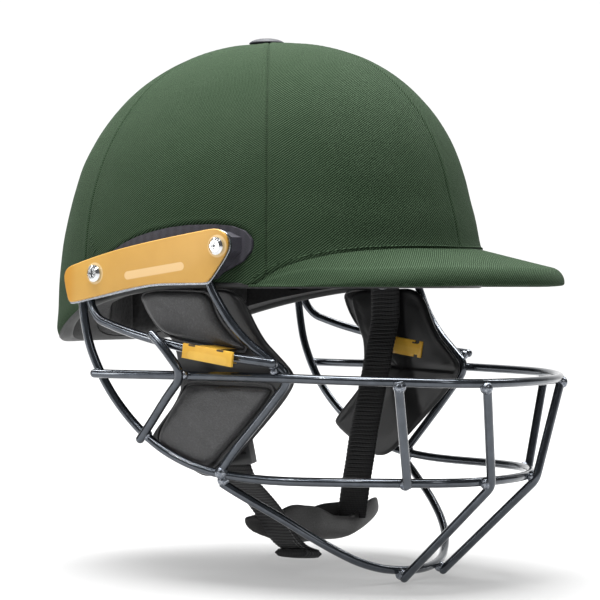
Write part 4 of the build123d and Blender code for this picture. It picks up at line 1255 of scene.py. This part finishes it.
def cup():
    n = 170
    loops, line, low = [], [], []
    for i in range(n):
        u = -1 + 2 * i / (n - 1)
        au = abs(u)
        x = -1.0 + (62.5 if u > 0 else 52.0) * u
        lift = (9.5 if u > 0 else 12.0) * au ** 3.4
        zt, zb = float(cup_top(u)), float(cup_back(u))
        zf = -142.2 + lift - 1.4 * math.exp(-((u - 0.38) / 0.25) ** 2)
        ctrl = [(-18.0 - 4.0 * au ** 2, zb), (-18.6 - 3.0 * au ** 2, 0.6 * zf + 0.4 * zb), (-24.5, zf + 0.6),
                (-36.5 + 2.0 * au ** 3, zf), (-41.2 + 2.6 * au ** 3, 0.72 * zf + 0.28 * zt), (-39.6 + 3.4 * au ** 3, zt)]
        prof, _ = bezier_path(ctrl, 0.2)
        m = 40
        t = np.linspace(0, len(prof) - 1, m)
        prof = np.stack([np.interp(t, np.arange(len(prof)), prof[:, k]) for k in (0, 1)], -1)
        tan = np.gradient(prof, axis=0)
        tan /= np.linalg.norm(tan, axis=1)[:, None] + 1e-9
        nor = np.stack([tan[:, 1], -tan[:, 0]], -1)
        end = math.sqrt(max(0.0, 1 - au ** 14))
        mid = prof.mean(0)
        s_ = np.linspace(0, 1, m)
        loop = []
        for sgn in (1, -1):
            for j in (range(m) if sgn == 1 else reversed(range(m))):
                e = math.sqrt(max(0.0, 1 - abs(2 * s_[j] - 1) ** 14))
                th = (0.25 + 1.0 * e) * (0.25 + 0.75 * end)
                q = mid + (prof[j] - mid) * ((0.80 + 0.20 * end) if u > 0 else (0.45 + 0.55 * end)) + nor[j] * th * sgn
                loop.append((x, q[0], q[1]))
        loops.append(loop)
        line.append(loop[m - 4])
        low.append(loop[int(m * 0.60)])
    V = np.array(loops)
    kk = V.shape[1]
    P = V.reshape(-1, 3)
    P = P + np.stack([nz(P, 0.07, 0.5, 2.0), nz(P, 0.06, 0.9, 12.0), nz(P, 0.055, 1.0, 22.0)], -1)
    # the near end lies against the inner face of the webbing, a small tip shows behind it
    zz = np.clip(P[:, 2], -148.0, -104.0)
    stop = strap_x(zz) + 1.3
    front = np.clip((-22.5 - P[:, 1]) / 3.0, 0, 1)
    clamp = np.maximum(P[:, 0], stop)
    P[:, 0] = P[:, 0] * (1 - front) + clamp * front
    F = grid_faces(n, kk, wrap_v=True)
    F.append(tuple(range(kk)))
    F.append(tuple((n - 1) * kk + j for j in reversed(range(kk))))
    ob = make("chin_cup_leather", P, F, M_CUP)
    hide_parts("chin_cup")
    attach(ob, "chin_strap")
    near_pts = [q for q in line if q[0] > -30]
    stitches("chin_cup_stitch", near_pts, (0, -0.9, 0.0), 2.0, 0.2, "chin_strap", M_THREAD, 0.9)
    # turned and sewn bottom edge
    pts = np.array([q for q in low if q[0] > -24 and q[0] < 52])
    pts = pts + np.stack([nz(pts, 0.3, 0.5, 8.0), pts[:, 1] * 0 - 0.6, -0.6 + nz(pts, 0.3, 0.5, 18.0)], -1)
    v, f = tube(pts, 1.05, 8)
    pipe = make("chin_cup_edge", v, f, M_WEB, v * 1.0)
    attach(pipe, "chin_strap")


cup()


def hem():
    """webbing end folded back on itself and sewn"""
    n, m = 40, 13
    V, W = [], []
    for i in range(n):
        t = -1 + 2 * i / (n - 1)
        rib = abs(math.sin(math.pi * (t * 7.5) / 2.5)) ** 0.7
        round_ = math.sqrt(max(0.0, 1 - abs(t) ** 12))
        for sgn in (1, -1):
            for c in (np.linspace(-1, 1, m) if sgn == 1 else np.linspace(1, -1, m)):
                e = math.sqrt(max(0.0, 1 - abs(c) ** 8))
                V.append((t * 7.9, c * (10.4 + 0.4 * rib), sgn * (1.95 + 0.5 * rib) * round_ * max(e, 0.2)
                          + 0.5 * math.sin(c * 2.2 + t)))
                W.append((c * 10, t * 7.5, 0))
    V = np.array(V)
    a = math.radians(7)
    x, z = V[:, 0].copy(), V[:, 2].copy()
    V[:, 0] = x * math.cos(a) + z * math.sin(a) - 20.2
    V[:, 2] = -x * math.sin(a) + z * math.cos(a) - 148.8
    V = leaned(V)
    k = 2 * m
    F = grid_faces(n, k, wrap_v=True)
    F.append(tuple(range(k)))
    F.append(tuple((n - 1) * k + j for j in reversed(range(k))))
    ob = make("strap_hem_folded", V, F, M_WEB, np.array(W))
    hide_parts("strap_end_hem")
    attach(ob, "chin_strap")


hem()


def sewing():
    """rows of pale stitches that hold the folded end to the webbing"""
    path, s = bezier_path(RIGHT, 0.3)
    tan = np.gradient(path, axis=0)
    tan /= np.linalg.norm(tan, axis=1)[:, None]
    out = np.stack([tan[:, 1], -tan[:, 0]], -1)
    out = out * np.sign(-out[len(out) // 2, 0])
    for k, (y, s0, s1) in enumerate(((-7.6, -44.0, -2.0), (-5.4, -20.0, -2.0), (8.0, -18.0, -2.0))):
        a, b = np.searchsorted(s, s[-1] + s0), np.searchsorted(s, s[-1] + s1)
        pts = np.stack([path[a:b, 0] + out[a:b, 0] * 0.95, np.full(b - a, y), path[a:b, 1] + out[a:b, 1] * 0.95], -1)
        if len(pts) > 12:
            stitches("hem_stitch_%d" % k, leaned(pts), (out[a, 0] * 0.3, 0, out[a, 1] * 0.3), 1.5, 0.24, "chin_strap",
                     M_THREAD_PALE, 1.1)


sewing()


# ------------------------------------------------------------------ comfort pads
def dome_pad(name, node, a0, a1, z_lo, z_hi, channels, seed):
    """padded strip that lies on the foam, between two azimuths and two heights"""
    nu, nv = 90, 46
    P = np.zeros((2, nu, nv, 3))
    for i in range(nu):
        u = i / (nu - 1)
        q = math.radians(a0 + (a1 - a0) * u)
        lo = z_lo(q) if callable(z_lo) else z_lo
        v = np.linspace(0, 1, nv)
        s = s_at_z(lo + (z_hi - lo) * v)
        eu = 1 - abs(2 * u - 1) ** 14
        ev = 1 - np.abs(2 * v - 1) ** 9
        puff = np.sqrt(np.clip(eu * ev, 0, 1))
        ch = np.zeros(nv)
        for c in channels:
            ch += 0.55 * np.exp(-((u - c) * (a1 - a0) * 1.9 / 2.2) ** 2) * np.clip(1.25 - np.abs(2 * v - 1) * 1.1, 0, 1)
        base = dome(q, s, -O2)
        t = 0.6 + (PAD_T - 0.8) * puff * (1 - np.clip(ch, 0, 0.7)) + nz(base, 0.05, 0.9, seed) * puff
        P[0, i] = dome(q, s, -O2 - 0.05)
        P[1, i] = dome(q, s, 0.0 - O2 - t)
    V = P.reshape(-1, 3)
    F = grid_faces(nu, nv) + grid_faces(nu, nv, base=nu * nv)
    o = nu * nv
    for i in range(nu - 1):
        F.append((i * nv, (i + 1) * nv, o + (i + 1) * nv, o + i * nv))
        F.append((i * nv + nv - 1, o + i * nv + nv - 1, o + (i + 1) * nv + nv - 1, (i + 1) * nv + nv - 1))
    for j in range(nv - 1):
        F.append((j, o + j, o + j + 1, j + 1))
        b = (nu - 1) * nv
        F.append((b + j, b + j + 1, o + b + j + 1, o + b + j))
    ob = make(name, V, F, M_PAD)
    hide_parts(node)
    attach(ob, "helmet")


def pad_edge(drop, nape):
    def f(q):
        y = DY - (A - O2) * math.cos(q)
        return float(rim_z(y)) - drop - nape * min(1.0, max(0.0, (y - 60) / 45.0))
    return f


dome_pad("pad_front", "front_comfort_pad", -48, 48, pad_edge(-3.0, 9.0), 42, (0.33, 0.67), 1.5)
dome_pad("pad_rear", "rear_comfort_pad", 128, 232, pad_edge(-3.0, 9.0), 30, (0.25, 0.5, 0.75), 6.5)
dome_pad("pad_side_left", "side_comfort_pad_left", 64, 118, 11.0, 46, (0.5,), 11.5)
dome_pad("pad_side_right", "side_comfort_pad_right", -118, -64, 11.0, 46, (0.5,), 16.5)


def crown_pad():
    nu, nv = 60, 70
    top, bot = np.zeros((nu, nv, 3)), np.zeros((nu, nv, 3))
    for i in range(nu):
        for j in range(nv):
            u, v = -1 + 2 * i / (nu - 1), -1 + 2 * j / (nv - 1)
            k = (1 - 0.16 * abs(v) ** 3), (1 - 0.16 * abs(u) ** 3)
            x, y = 1.5 + 39 * u * k[0], 1.0 + 52 * v * k[1]
            puff = math.sqrt(max(0.0, (1 - abs(u) ** 10) * (1 - abs(v) ** 10)))
            ch = 0.5 * (math.exp(-((x - 1.5) / 2.4) ** 2) + math.exp(-((y - 1.0) / 2.4) ** 2))
            t = 0.6 + (PAD_T - 0.8) * puff * (1 - min(0.6, ch)) + 0.7 * noise.noise(Vector((x * .05, y * .05, 3))) * puff
            for arr, d in ((top, -O2 - 0.05), (bot, -O2 - t)):
                rr = math.hypot(x / (B + d), (y - DY) / (A + d))
                arr[i, j] = (x, y, (H + d) * max(0.0, 1 - rr ** POW) ** (1 / POW))
    V = np.vstack([top.reshape(-1, 3), bot.reshape(-1, 3)])
    F = grid_faces(nu, nv) + grid_faces(nu, nv, base=nu * nv)
    o = nu * nv
    for i in range(nu - 1):
        F.append((i * nv, (i + 1) * nv, o + (i + 1) * nv, o + i * nv))
        F.append((i * nv + nv - 1, o + i * nv + nv - 1, o + (i + 1) * nv + nv - 1, (i + 1) * nv + nv - 1))
    for j in range(nv - 1):
        F.append((j, o + j, o + j + 1, j + 1))
        b = (nu - 1) * nv
        F.append((b + j, b + j + 1, o + b + j + 1, o + b + j))
    ob = make("pad_crown", V, F, M_PAD)
    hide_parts("crown_comfort_pad")
    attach(ob, "helmet")


crown_pad()

# ------------------------------------------------------------------ floor, light
FLOOR_Z = cad_low[2] - 0.0005


def backdrop():
    """pale floor that curves up behind the object"""
    prof = [(-6.0, 0.0), (3.0, 0.0)]
    for i in range(1, 13):
        a = math.pi / 2 * i / 12
        prof.append((3.0 + 1.6 * math.sin(a), 1.6 - 1.6 * math.cos(a)))
    prof.append((4.6, 6.0))
    V, F = [], []
    for d, z in prof:
        for w in (-7.0, 7.0):
            p = look * d + side * w
            V.append((p.x * 1000, p.y * 1000, (FLOOR_Z + z) * 1000))
    F = grid_faces(len(prof), 2)
    m = Mat("studio_floor", (0.92, 0.92, 0.92), 0.9)
    o = m.coords()
    k = m.noise(o, 3.0, 2.0, 0.5)
    m.colour(m.ramp(k, [(0.2, (0.265, 0.265, 0.265)), (0.8, (0.28, 0.28, 0.28))]))
    m.set("Emission Color", (1.0, 1.0, 1.0, 1.0))
    m.set("Emission Strength", 0.32)
    ob = make("studio_floor", V, F, m.m)


backdrop()

world = bpy.data.worlds.new("studio")
scene.world = world
world.use_nodes = True
bg = world.node_tree.nodes["Background"]
bg.inputs["Color"].default_value = (1.0, 1.0, 1.0, 1.0)
bg.inputs["Strength"].default_value = 0.11


def area(name, loc, target, size, power, sx=None):
    L = bpy.data.lights.new(name, "AREA")
    L.shape = "RECTANGLE"
    L.size = size
    L.size_y = sx or size
    L.energy = power
    ob = bpy.data.objects.new(name, L)
    scene.collection.objects.link(ob)
    ob.location = loc
    d = Vector(target) - Vector(loc)
    ob.rotation_euler = d.to_track_quat("-Z", "Y").to_euler()
    return ob


def at(right, up, fwd):
    """place by the camera's own right, up and away"""
    p = side * right + look * fwd
    return (p.x, p.y, up)


area("top", at(-0.1, 2.2, 0.15), (0, 0, 0.0), 2.0, 212.0)
area("key", at(-0.75, 1.55, -1.40), (0, 0, 0.0), 0.30, 5.2)
area("front", at(1.1, 0.9, -1.4), (0, -0.05, 0.0), 0.30, 2.6, 0.7)
area("left", at(-1.7, 0.35, -0.7), (0, 0, -0.05), 0.16, 5.0, 0.9)
area("glint", at(-1.05, 1.15, -1.05), (0, -0.06, -0.06), 0.05, 3.6)
for i, x in enumerate((-2.0, 2.0)):
    area("wall_%d" % i, at(x, 2.6, 1.2), at(x * 0.6, 0.9, 4.4), 1.6, 205.0)

scene.view_settings.view_transform = "Standard"
scene.view_settings.look = "None"
scene.view_settings.exposure = 0.0
